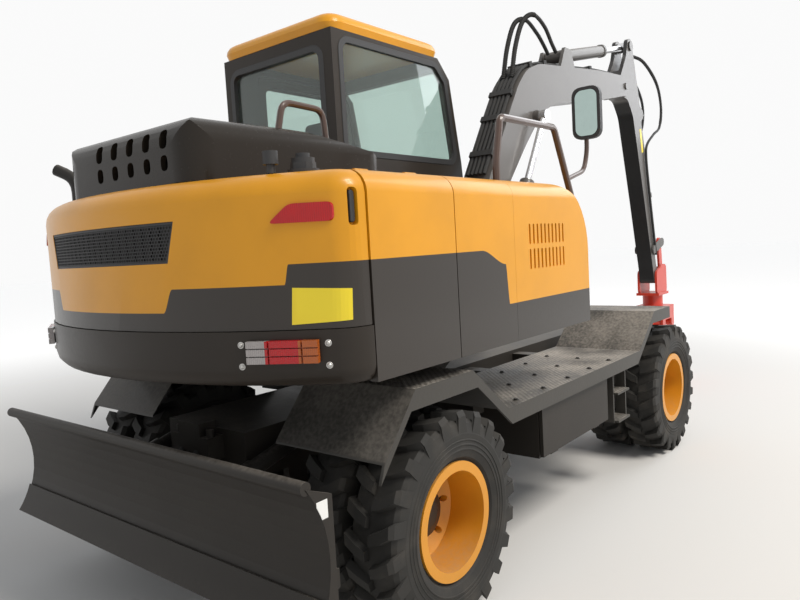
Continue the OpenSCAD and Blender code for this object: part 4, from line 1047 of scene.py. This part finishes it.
class Skin:
    """The surface of a CAD node, for pieces that lie on it."""

    def __init__(self, node: str) -> None:
        """Reads the node's faces."""
        source = frame["nodes"][node]
        corners = [source.matrix_world @ vert.co for vert in source.data.vertices]
        self.tree = BVHTree.FromPolygons(corners, [tuple(face.vertices) for face in source.data.polygons])

    def nearest(self, point: Vector) -> tuple[Vector, Vector]:
        """The surface point nearest to point, and the normal there."""
        place, normal, _, _ = self.tree.find_nearest(point)
        if (point - place).dot(normal) < 0:
            normal = -normal
        return place, normal

    def film(self, shape: Shape, corners: Sequence[Vector], across: int = 14, down: int = 8) -> None:
        """Adds a thin closed film that follows the surface between four corners.

        Args:
            shape: the bmesh to fill.
            corners: upper left, upper right, lower right and lower left, just outside the surface.
            across: steps from left to right.
            down: steps from top to bottom.
        """
        sunk, raised = -0.0015, 0.0012
        a, b, c, d = corners
        rim = ([(0, i) for i in range(across)] + [(j, across) for j in range(down)]
               + [(down, i) for i in range(across, 0, -1)] + [(j, 0) for j in range(down, 0, -1)])
        edges = []
        for height in (sunk, raised):
            rows = []
            for v in (j / down for j in range(down + 1)):
                row = []
                for u in (i / across for i in range(across + 1)):
                    place, normal = self.nearest((1 - v) * ((1 - u) * a + u * b) + v * ((1 - u) * d + u * c))
                    row.append(shape.verts.new(place + normal * height))
                rows.append(row)
            join_rows(shape, rows)
            edges.append([rows[j][i] for j, i in rim])
        join_rings(shape, edges)


# The machine's pieces


@dataclass
class Trim:
    """What the makers of added pieces share."""

    finisher: Finisher

    def put(self, name: str, node: str, finish: Finish, build: Callable[[Shape], None]) -> None:
        """Makes one piece that moves with a CAD node.

        Args:
            name: the piece's name.
            node: the CAD node that it moves with.
            finish: what it is made of.
            build: fills its bmesh, in metres in the frame.
        """
        rides_with(solid(name, build, self.finisher.of(finish)), node)


@dataclass
class TwinTyres(Trim):
    """The lugged tyres of all four wheels, in pairs."""

    outer_y: float = 0.905
    pitch: float = 0.265
    width: float = 0.225
    radius: float = 0.430
    seat_radius: float = 0.2033
    seat_half: float = 0.082
    flange_radius: float = 0.232
    lug_depth: float = 0.030
    lug_half: float = 0.022
    lug_lean: float = 0.046
    lugs: int = 22
    steps_round: int = 64

    def carcass(self) -> Outline:
        """The tyre's section without its lugs, as (radius, y)."""
        wall, tread, flange = self.width / 2, self.radius - self.lug_depth, self.flange_radius
        half = [(self.seat_radius, self.seat_half), (flange + 0.006, self.seat_half),
                (flange + 0.018, wall - 0.012), (flange + 0.036, wall - 0.005)]
        for ridge in (flange + 0.048, flange + 0.066, flange + 0.084):
            half += [(ridge - 0.004, wall - 0.002), (ridge - 0.002, wall + 0.0012),
                     (ridge + 0.002, wall + 0.0012), (ridge + 0.004, wall - 0.001)]
        half += [(tread - 0.060, wall), (tread - 0.020, wall - 0.008), (tread - 0.004, wall - 0.022),
                 (tread, wall - 0.050)]
        return [(radius, -y) for radius, y in half] + [(tread + 0.003, 0.0)] + half[::-1]

    def lug(self, side: Side) -> Piece:
        """One slanted tread block, from the tyre's middle to its shoulder on a side."""
        wall, lean, flare = self.width / 2, self.lug_lean, 0.006
        low, high = self.radius - self.lug_depth - 0.006, self.radius - 0.003
        foot, shoulder = self.radius - 0.092, self.radius - 0.024
        rows = ((0.008, 0.0, self.lug_half - 0.004), (0.052, 0.016, self.lug_half),
                (wall - 0.012, lean, self.lug_half))
        sections = [(y, ((x - half - flare, low), (x + half + flare, low), (x + half, high),
                         (x - half, high))) for y, x, half in rows]
        sections.append((wall - 0.001, ((lean - 0.030, foot), (lean + 0.030, foot),
                                        (lean + 0.024, shoulder), (lean - 0.024, shoulder))))

        def build(shape: Shape) -> None:
            """A bent block with a chamfered top and a shoulder foot."""
            rings = [[shape.verts.new((x, side.value * y, z)) for x, z in section]
                     for y, section in sections]
            join_rings(shape, rings)
            shape.faces.new(rings[0])
            shape.faces.new(rings[-1])

        return solid("lug_form", build, self.finisher.of(TYRE_RUBBER))

    def pair(self, shape: Shape, axle: Axle, side: Side, treads: Sequence[Piece]) -> None:
        """Fills in both tyres of one wheel.

        Args:
            shape: the bmesh to fill.
            axle: the wheel's axle.
            side: the wheel's side.
            treads: the rings of lugs of one tyre.
        """
        for k in (0, 1):
            place = Matrix.Translation((axle.x, side.value * (self.outer_y - k * self.pitch), AXLE_Z))
            lathe(shape, self.carcass(), self.steps_round, place)
            for tread in treads:
                start = len(shape.verts)
                shape.from_mesh(tread.data)
                shape.verts.ensure_lookup_table()
                for vert in shape.verts[start:]:
                    vert.co = place @ vert.co

    def build(self) -> None:
        """Makes the four twin pieces, each on its wheel."""
        rubber, ring = self.finisher.of(TYRE_RUBBER), RingOfCopies("tread_ring")
        treads = []
        for side, shift in ((Side.RIGHT, 0.0), (Side.LEFT, 0.5)):
            form = self.lug(side)
            values = {"Form": form, "Count": self.lugs, "Turn": shift * CIRCLE / self.lugs,
                      "Material": rubber}
            treads.append(ring.make(f"tread_{side.word}", values, (form,)))
        for axle in Axle:
            for side in Side:
                piece = solid(f"tyre_tread_{axle.value}_{side.word}",
                              lambda shape: self.pair(shape, axle, side, treads), rubber)
                node = f"tyres_{axle.value}_{side.word}"
                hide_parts(node)
                rides_with(piece, node)
        for tread in treads:
            bpy.data.objects.remove(tread)


@dataclass
class TailTrim(Trim):
    """Screws by the lamp clusters, the fine grille mesh, the blank films and the handle bars."""

    slew_x: float = 0.905
    tail_radius: float = 1.750
    screw_y: tuple[float, float] = (0.672, 0.940)
    screw_z: tuple[float, float] = (1.140, 1.212)
    grille_top: float = 0.445
    grille_foot: float = 0.408
    grille_high: float = 1.633
    grille_low: float = 1.492
    sheet_inset: float = 0.0133
    hex_pitch: float = 0.0135
    handle_place: Point = (-0.4906, 0.9905, 1.644)
    handle_half: tuple[float, float] = (0.0105, 0.052)
    handle_depth: float = 0.012

    def on_arc(self, y: float, z: float, inset: float) -> Vector:
        """A point of the tail's arc, inset from its face."""
        return at(self.slew_x - math.sqrt((self.tail_radius - inset) ** 2 - y * y), y, z)

    def screws(self) -> None:
        """Four round screws about each lamp cluster."""
        skin = Skin("counterweight")
        spots = []
        for side in SIDES:
            for y in self.screw_y:
                for z in self.screw_z:
                    place, normal = skin.nearest(self.on_arc(side * y, z, -0.004))
                    spots.append((place - normal * 0.0005, normal))

        def form(shape: Shape) -> None:
            """A low dome on a washer."""
            plate(shape, disc(0.0115), 0.0025, Matrix(), 0.0006)
            plate(shape, disc(0.0075), 0.0075, Matrix(), 0.0028)

        steel = self.finisher.of(STEEL)
        piece = CopiesOnSpots().spread("lamp_screws", solid("screw_form", form, steel), spots, steel)
        rides_with(piece, "counterweight")

    def trapezoid(self, inset: float, steps: int = 40) -> Outline:
        """The grille's outline as (y, z) points, drawn in by inset."""
        top, foot = self.grille_top - inset, self.grille_foot - inset
        high, low = self.grille_high - inset, self.grille_low + inset
        corners = [(-top, high), (top, high), (foot, low), (-foot, low)]
        return [((1 - k / steps) * a[0] + k / steps * b[0], (1 - k / steps) * a[1] + k / steps * b[1])
                for a, b in zip(corners, corners[1:] + corners[:1]) for k in range(steps)]

    def grille(self) -> None:
        """A sheet of hexagonal holes over the grille's openings, in a frame."""
        black = self.finisher.of(BLACK_PLASTIC)
        reach = self.hex_pitch / math.sqrt(3)

        def cell(shape: Shape) -> None:
            """One hexagonal ring, open along X."""
            corners = [(math.sin(math.pi * k / 3), math.cos(math.pi * k / 3)) for k in range(6)]
            section = ((0.0, reach), (-0.0022, reach), (-0.0022, reach * 0.74), (0.0, reach * 0.78))
            rings = [[shape.verts.new((x, r * a, r * b)) for a, b in corners] for x, r in section]
            join_rings(shape, rings, closed=True)

        def border(shape: Shape) -> None:
            """A flat frame that follows the tail's arc."""
            section = ((0.0006, 0.0139), (0.0006, 0.0092), (0.0080, 0.0092), (0.0095, 0.0139))
            rings = [[shape.verts.new(self.on_arc(y, z, inset)) for y, z in self.trapezoid(edge)]
                     for edge, inset in section]
            join_rings(shape, rings, closed=True)

        values = {"Form": solid("hex_cell", cell, black), "Material": black,
                  "Rows": int((self.grille_high - self.grille_low) / (reach * 1.5)) + 1,
                  "Columns": int(2 * self.grille_top / self.hex_pitch) + 1, "Pitch": self.hex_pitch,
                  "Arc Radius": self.tail_radius - self.sheet_inset, "Arc Centre": self.slew_x + SHIFT_X,
                  "Low": self.grille_low, "High": self.grille_high,
                  "Half Low": self.grille_foot, "Half High": self.grille_top}
        rides_with(HexSheet().make("tail_grille_mesh", values, (values["Form"],)), "tail_grille")
        self.put("tail_grille_border", "tail_grille", BLACK_PLASTIC, border)

    def films(self) -> None:
        """Blank films: yellow on the tail's corner and the arm, white on the blade's end."""
        places = (
            ("tail_blank_film", "tail_cover", BLANK_YELLOW,
             ((-0.632, -0.846, 1.394), (-0.522, -1.019, 1.383),
              (-0.525, -1.016, 1.282), (-0.636, -0.838, 1.274))),
            ("arm_blank_film", "arm", BLANK_YELLOW,
             ((4.295, -0.243, 2.45), (4.335, -0.243, 2.46),
              (4.380, -0.243, 2.25), (4.340, -0.243, 2.24))),
            ("blade_blank_tag", "blade", BLANK_WHITE,
             ((-0.757, -1.031, 0.764), (-0.712, -1.031, 0.764),
              (-0.712, -1.031, 0.706), (-0.757, -1.031, 0.706))),
        )
        for name, node, finish, corners in places:
            skin = Skin(node)
            self.put(name, node, finish, lambda shape: skin.film(shape, [at(*corner) for corner in corners]))

    def handles(self) -> None:
        """A black bar in each recess of the tail cover."""
        def build(shape: Shape) -> None:
            """Two slim bars with a pull edge."""
            x, y, z = self.handle_place
            for side in SIDES:
                place = facing_to(at(x, side * y, z), Vector((0, side, 0)))
                plate(shape, rounded(*self.handle_half, 0.010), self.handle_depth, place, 0.003)

        self.put("tail_handle_bars", "tail_cover", BLACK_PLASTIC, build)

    def build(self) -> None:
        """Makes all of the tail's trim."""
        self.screws()
        self.grille()
        self.films()
        self.handles()


@dataclass
class DeckTrim(Trim):
    """Bolt heads in rows on both side decks."""

    deck_z: float = 0.780
    rows: tuple[float, ...] = (0.56, 0.76, 0.95)
    first_x: float = 0.58
    step_x: float = 0.27
    count: int = 5

    def build(self) -> None:
        """Makes the bolts of both decks as one piece."""
        def form(shape: Shape) -> None:
            """A round head with a drawn-in edge on a washer."""
            plate(shape, disc(0.0150, 3), 0.0022, Matrix(), 0.0005)
            plate(shape, disc(0.0100, 3), 0.0085, Matrix(), 0.0025)

        steel = self.finisher.of(BLACK_STEEL)
        spots = [(at(self.first_x + k * self.step_x, side * y, self.deck_z), UP)
                 for side in SIDES for y in self.rows for k in range(self.count)]
        piece = CopiesOnSpots().spread("deck_bolts", solid("bolt_form", form, steel), spots, steel)
        rides_with(piece, "side_platforms")


@dataclass
class Hoses(Trim):
    """The free hose loops that stay on one body each."""

    boom_y: float = -0.170
    boom_radius: float = 0.0135
    arm_radius: float = 0.0115
    chassis_radius: float = 0.011
    maker: HoseMaker = field(default_factory=HoseMaker)

    def lay(self, name: str, node: str, radius: float, route: Sequence[Point], ring_step: float = 10.0,
            ring_share: float = 0.001) -> None:
        """Lays one hose on a node; it has no guard rings unless their step and share are given.

        Args:
            name: the piece's name.
            node: the CAD node that it moves with.
            radius: its radius.
            route: the points that it passes, with x measured from the rear axle.
            ring_step: the distance between guard rings.
            ring_share: the share of its length that has rings.
        """
        points, rubber = [at(*point) for point in route], self.finisher.of(HOSE_RUBBER)
        rides_with(self.maker.hose(name, points, radius, rubber, ring_step, ring_share), node)

    def boom(self) -> None:
        """Two loops from the boom's foot to its back."""
        for k, y in enumerate((-0.032, 0.032)):
            h = self.boom_y + y
            self.lay(f"boom_loop_hose_{k}", "boom", self.boom_radius, [
                (2.015, h, 2.585), (2.085, h, 2.80), (2.20, h, 2.985), (2.36, h, 3.065 - 0.02 * k),
                (2.52, h, 3.02 - 0.03 * k), (2.63, h, 2.92), (2.695, h, 2.865)], 0.013, 0.62)

    def arm(self) -> None:
        """Two loops from the arm's head down its sides."""
        for k, side in enumerate(SIDES):
            h = self.boom_y + side * 0.088
            near = h - side * 0.004
            self.lay(f"arm_loop_hose_{k}", "arm", self.arm_radius, [
                (4.17, self.boom_y + side * 0.05, 3.10), (4.40, h, 3.07), (4.74, h, 2.93 - 0.04 * k),
                (4.86, h, 2.72), (4.80, h, 2.52), (4.62, h, 2.43), (4.445, near, 2.32), (4.415, near, 2.20),
                (4.46, near, 1.95), (4.56, near, 1.52), (4.62, near, 1.28)], 0.014, (0.4, 1.0)[k])

    def chassis(self) -> None:
        """Two loops from the chassis to the blade's lift barrels."""
        for k, side in enumerate(SIDES):
            self.lay(f"chassis_hose_{k}", "chassis_frame", self.chassis_radius, [
                (-0.505, side * 0.05, 0.70), (-0.56, side * 0.06, 0.66), (-0.57, side * 0.13, 0.56),
                (-0.46, side * 0.22, 0.55), (-0.33, side * 0.255, 0.66), (-0.22, side * 0.262, 0.735),
                (-0.165, side * 0.245, 0.745)])

    def build(self) -> None:
        """Makes the hoses on the boom, the arm and the chassis."""
        self.boom()
        self.arm()
        self.chassis()


@dataclass
class CabTrim(Trim):
    """What the cab carries: padded seat, mirror glass, lifting eyes and window seals."""

    seat_y: float = 0.53
    pad_edge: float = 0.030
    side_face_y: float = 0.082
    door_face_y: float = 1.000
    rear_face_x: float = 0.600
    window_radius: float = 0.060
    mirror_place: Point = (1.4885, -0.940, 2.170)
    mirror_half: tuple[float, float] = (0.0625, 0.1225)
    mirror_corner: float = 0.040
    eye_x: tuple[float, float] = (0.78, 1.62)
    eye_y: float = 0.20
    roof_z: float = 2.80

    def pad_point(self, unit: Vector, half: Point, crown: float, seams: Sequence[float]) -> Vector:
        """Places a point of a cube on a rounded pad whose upper face swells between seams.

        Args:
            unit: the point on a cube that reaches 1 along each axis.
            half: half the pad's size along each local axis, Z being its thickness.
            crown: how far its upper face swells.
            seams: where seams cross it, along local Y.

        Returns:
            The point in the pad's own axes.
        """
        radius, seam_depth, seam_width = self.pad_edge, 0.007, 0.008
        point = Vector([unit[k] * half[k] for k in range(3)])
        core = Vector([max(radius - half[k], min(half[k] - radius, point[k])) for k in range(3)])
        away = point - core
        point = core + (away.normalized() * radius if away.length > 1e-9 else away)
        if unit.z > 0.2:
            point.z += crown * (1 - unit.x ** 2) * (1 - unit.y ** 2) * unit.z
            point.z -= sum(seam_depth * math.exp(-((point.y - seam) / seam_width) ** 2) for seam in seams)
        return point

    def cushion(self, shape: Shape, half: Point, crown: float, seams: Sequence[float], place: Matrix,
                count: int = 20) -> None:
        """Adds one pad.

        Args:
            shape: the bmesh to fill.
            half: half its size along each local axis.
            crown: how far its upper face swells.
            seams: where seams cross it.
            place: puts it in the frame.
            count: steps along each side.
        """
        for axis in range(3):
            for sign in (-1, 1):
                rows = []
                for i in range(count + 1):
                    row = []
                    for j in range(count + 1):
                        u, v = 2 * i / count - 1, 2 * j / count - 1
                        unit = Vector((0, 0, 0))
                        unit[axis], unit[(axis + 1) % 3], unit[(axis + 2) % 3] = sign, u * sign, v
                        row.append(shape.verts.new(place @ self.pad_point(unit, half, crown, seams)))
                    rows.append(row)
                join_rows(shape, rows)

    def pads(self, shape: Shape) -> None:
        """The seat's three pads."""
        for (x, z), tilt, half, crown, seams in (
                ((1.165, 1.475), 0.05, (0.215, 0.195, 0.054), 0.012, (-0.11, 0.11)),
                ((0.962, 1.795), 1.44, (0.300, 0.186, 0.046), 0.012, (-0.10, 0.10)),
                ((0.915, 2.205), 1.44, (0.078, 0.108, 0.034), 0.008, ())):
            place = Matrix.Translation(at(x, self.seat_y, z)) @ Matrix.Rotation(-tilt, 4, "Y")
            self.cushion(shape, half, crown, seams, place)

    def carrier(self, shape: Shape) -> None:
        """The seat's pedestal with a sloped front, and two head rest stems."""
        half, low, high = 0.150, 1.155, 1.418
        outline = [(1.010, low), (1.290, low), (1.325, high - 0.02), (1.310, high), (0.985, high),
                   (0.965, high - 0.02)]
        rings = [[shape.verts.new(at(x, self.seat_y + side * half, z)) for x, z in outline]
                 for side in SIDES]
        join_rings(shape, rings)
        shape.faces.new(rings[0])
        shape.faces.new(list(reversed(rings[1])))
        for side in SIDES:
            plate(shape, disc(0.007), 0.10, Matrix.Translation(at(0.925, self.seat_y + side * 0.03, 2.065)))

    def seat(self) -> None:
        """Padded seat, back and head rest on a closed pedestal."""
        pad = solid("seat_pads", self.pads, self.finisher.of(SEAT_CLOTH))
        pad.data.shade_smooth()
        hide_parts("seat")
        rides_with(pad, "seat")
        self.put("seat_base", "seat", BLACK_PLASTIC, self.carrier)

    def mirror(self) -> None:
        """The mirror's glass in its frame."""
        def pane(shape: Shape) -> None:
            """A flat pane that faces the rear."""
            place = facing_to(at(*self.mirror_place), Vector((-1, 0, 0)))
            plate(shape, rounded(*self.mirror_half, self.mirror_corner, 8), 0.0025, place, 0.0006)

        self.put("mirror_glass", "mirror", MIRROR_FACE, pane)

    def roof(self) -> None:
        """Two lifting eyes at the roof's edge."""
        skin = Skin("cab_roof")
        base, loop_radius, steps = 0.006, 0.017, 12

        def eyes(shape: Shape) -> None:
            """A base plate with a half ring on each."""
            for x in self.eye_x:
                here = facing_to(*skin.nearest(at(x, self.eye_y, self.roof_z)))
                plate(shape, rounded(0.035, 0.018, 0.008, 4), base, here, 0.001)
                loop = []
                for k in range(steps + 1):
                    angle = math.pi * k / steps
                    loop.append(here @ Vector((loop_radius * math.cos(angle), 0,
                                               base + loop_radius * math.sin(angle))))
                for start, end in zip(loop, loop[1:]):
                    plate(shape, disc(0.005, 3), (end - start).length * 1.15,
                          facing_to(start, end - start, Vector((0, 1, 0))))

        self.put("roof_lifting_eyes", "cab_roof", STEEL, eyes)

    def seals(self) -> None:
        """A rubber band round the side, rear and door windows, from the frame's face to the glass."""
        windows = (
            ("side_window_seal", "cab_frame", 0.0098,
             ((0.670, 2.040), (0.670, 2.640), (1.540, 2.640), (1.640, 2.545), (1.725, 2.040)),
             lambda u, v, out: at(u, self.side_face_y - out, v)),
            ("rear_window_seal", "cab_frame", 0.0198,
             ((0.172, 2.080), (0.930, 2.080), (0.930, 2.600), (0.172, 2.600)),
             lambda u, v, out: at(self.rear_face_x - out, u, v)),
            ("door_window_seal", "cab_door", 0.0188,
             ((0.880, 1.980), (0.880, 2.580), (1.510, 2.580), (1.560, 2.540), (1.640, 2.040),
              (1.650, 1.980)),
             lambda u, v, out: at(u, self.door_face_y + out, v)),
        )
        for name, node, depth, corners, where in windows:
            section = ((0.024, 0.0003), (0.021, 0.0040), (-0.012, 0.0040), (-0.016, -depth),
                       (-0.0008, -depth), (-0.0008, 0.0003))
            outline = softened(corners, self.window_radius)
            self.put(name, node, BLACK_PLASTIC, lambda shape: band_along(shape, outline, section, where))

    def build(self) -> None:
        """Makes all of the cab's trim."""
        self.seat()
        self.mirror()
        self.roof()
        self.seals()


@dataclass(frozen=True)
class Lamp:
    """One soft area lamp that looks at the machine, with its size in metres and its power in watts."""

    name: str
    place: Point
    size: float
    power: float
    colour: Point
    aim: Point = (0.0, 0.0, 1.2)

    def hang(self) -> None:
        """Adds the lamp to the scene."""
        data = bpy.data.lights.new(self.name, "AREA")
        data.size, data.energy, data.color = self.size, self.power, self.colour
        lamp = bpy.data.objects.new(self.name, data)
        lamp.location = self.place
        lamp.rotation_euler = (Vector(self.aim) - Vector(self.place)).to_track_quat("-Z", "Y").to_euler()
        bpy.context.scene.collection.objects.link(lamp)


KEY_LAMP = Lamp("key_lamp", (-0.5, -7.5, 9.5), 4.0, 1000.0, (1.0, 0.95, 0.88))
FILL_LAMP = Lamp("fill_lamp", (8.0, -3.0, 6.0), 6.0, 350.0, (0.93, 0.96, 1.0))


@dataclass
class Studio:
    """The pale floor, the soft light and the photograph's camera; angles are in degrees."""

    position: Point = (-4.207, -2.487, 1.510)
    yaw: float = 50.807
    pitch: float = -4.583
    roll: float = -3.265
    focal_pixels: float = 679.6
    image_width: int = 800
    sensor: float = 36.0
    floor_half: float = 60.0
    floor_glow: tuple[float, float] = (3.5, 11.0)
    sky_strength: float = 0.42

    def camera(self) -> None:
        """Places the camera as it stood for the photograph."""
        yaw, pitch, roll = (math.radians(a) for a in (self.yaw, self.pitch, self.roll))
        ahead = Vector((math.sin(yaw) * math.cos(pitch), math.cos(yaw) * math.cos(pitch), math.sin(pitch)))
        level = Vector((math.cos(yaw), -math.sin(yaw), 0))
        up = level.cross(ahead)
        right = math.cos(roll) * level + math.sin(roll) * up
        top = -math.sin(roll) * level + math.cos(roll) * up
        data = bpy.data.cameras.new("photo_camera")
        data.sensor_width = self.sensor
        data.lens = self.focal_pixels / self.image_width * self.sensor
        data.clip_end = 100.0
        camera = bpy.data.objects.new("photo_camera", data)
        rows = ((right[k], top[k], -ahead[k], self.position[k]) for k in range(3))
        camera.matrix_world = Matrix((*rows, (0, 0, 0, 1)))
        bpy.context.scene.collection.objects.link(camera)
        bpy.context.scene.camera = camera

    def floor(self) -> None:
        """A wide pale floor under the wheels, which glows far out and so meets the background."""
        tree = Shader("pale_floor")
        x, y = tree.coordinate(Axis.X), tree.coordinate(Axis.Y)
        away = (x * x + y * y).power(0.5).step(*self.floor_glow)
        tree.set({"Base Color": (0.74, 0.73, 0.71), "Roughness": 0.9, "Emission Strength": 1.0,
                  "Emission Color": tree.mix(away, (0.0, 0.0, 0.0), (0.60, 0.60, 0.60))})
        half = self.floor_half
        corners = ((-half, -half, 0), (half, -half, 0), (half, half, 0), (-half, half, 0))
        solid("floor", lambda shape: shape.faces.new([shape.verts.new(c) for c in corners]),
                       tree.material)

    def sky(self) -> None:
        """A soft sky that is plain white behind the machine, in mirrors and through glass."""
        world = bpy.data.worlds.new("soft_sky")
        bpy.context.scene.world = world
        world.use_nodes = True
        world.node_tree.nodes.clear()
        tree = Tree(world.node_tree)
        soft, plain = (tree.result("ShaderNodeBackground", {"Color": colour, "Strength": strength})
                       for colour, strength in (((0.93, 0.96, 1.0), self.sky_strength),
                                                ((0.96, 0.96, 0.96), 1.0)))
        ray = tree.add("ShaderNodeLightPath").outputs
        camera, glossy, through = (Term(tree, ray[f"Is {word} Ray"])
                                   for word in ("Camera", "Glossy", "Transmission"))
        seen = (camera + glossy + through).at_most(1.0)
        mixed = tree.result("ShaderNodeMixShader", {0: seen, 1: soft, 2: plain})
        tree.add("ShaderNodeOutputWorld", {"Surface": mixed})

    def build(self) -> None:
        """Makes camera, floor and light."""
        self.camera()
        self.floor()
        self.sky()
        for lamp in (KEY_LAMP, FILL_LAMP):
            lamp.hang()
        bpy.context.scene.view_settings.view_transform = "Standard"
        LOG.info("studio")


def main() -> None:
    """Builds every piece."""
    logging.basicConfig(level=logging.INFO, format="%(name)s: %(message)s")
    Studio().build()
    finisher = Finisher()
    finisher.dress_nodes()
    for maker in (TwinTyres, TailTrim, DeckTrim, Hoses, CabTrim):
        LOG.info("%s", maker.__name__)
        maker(finisher).build()


if __name__ == "__main__":
    main()
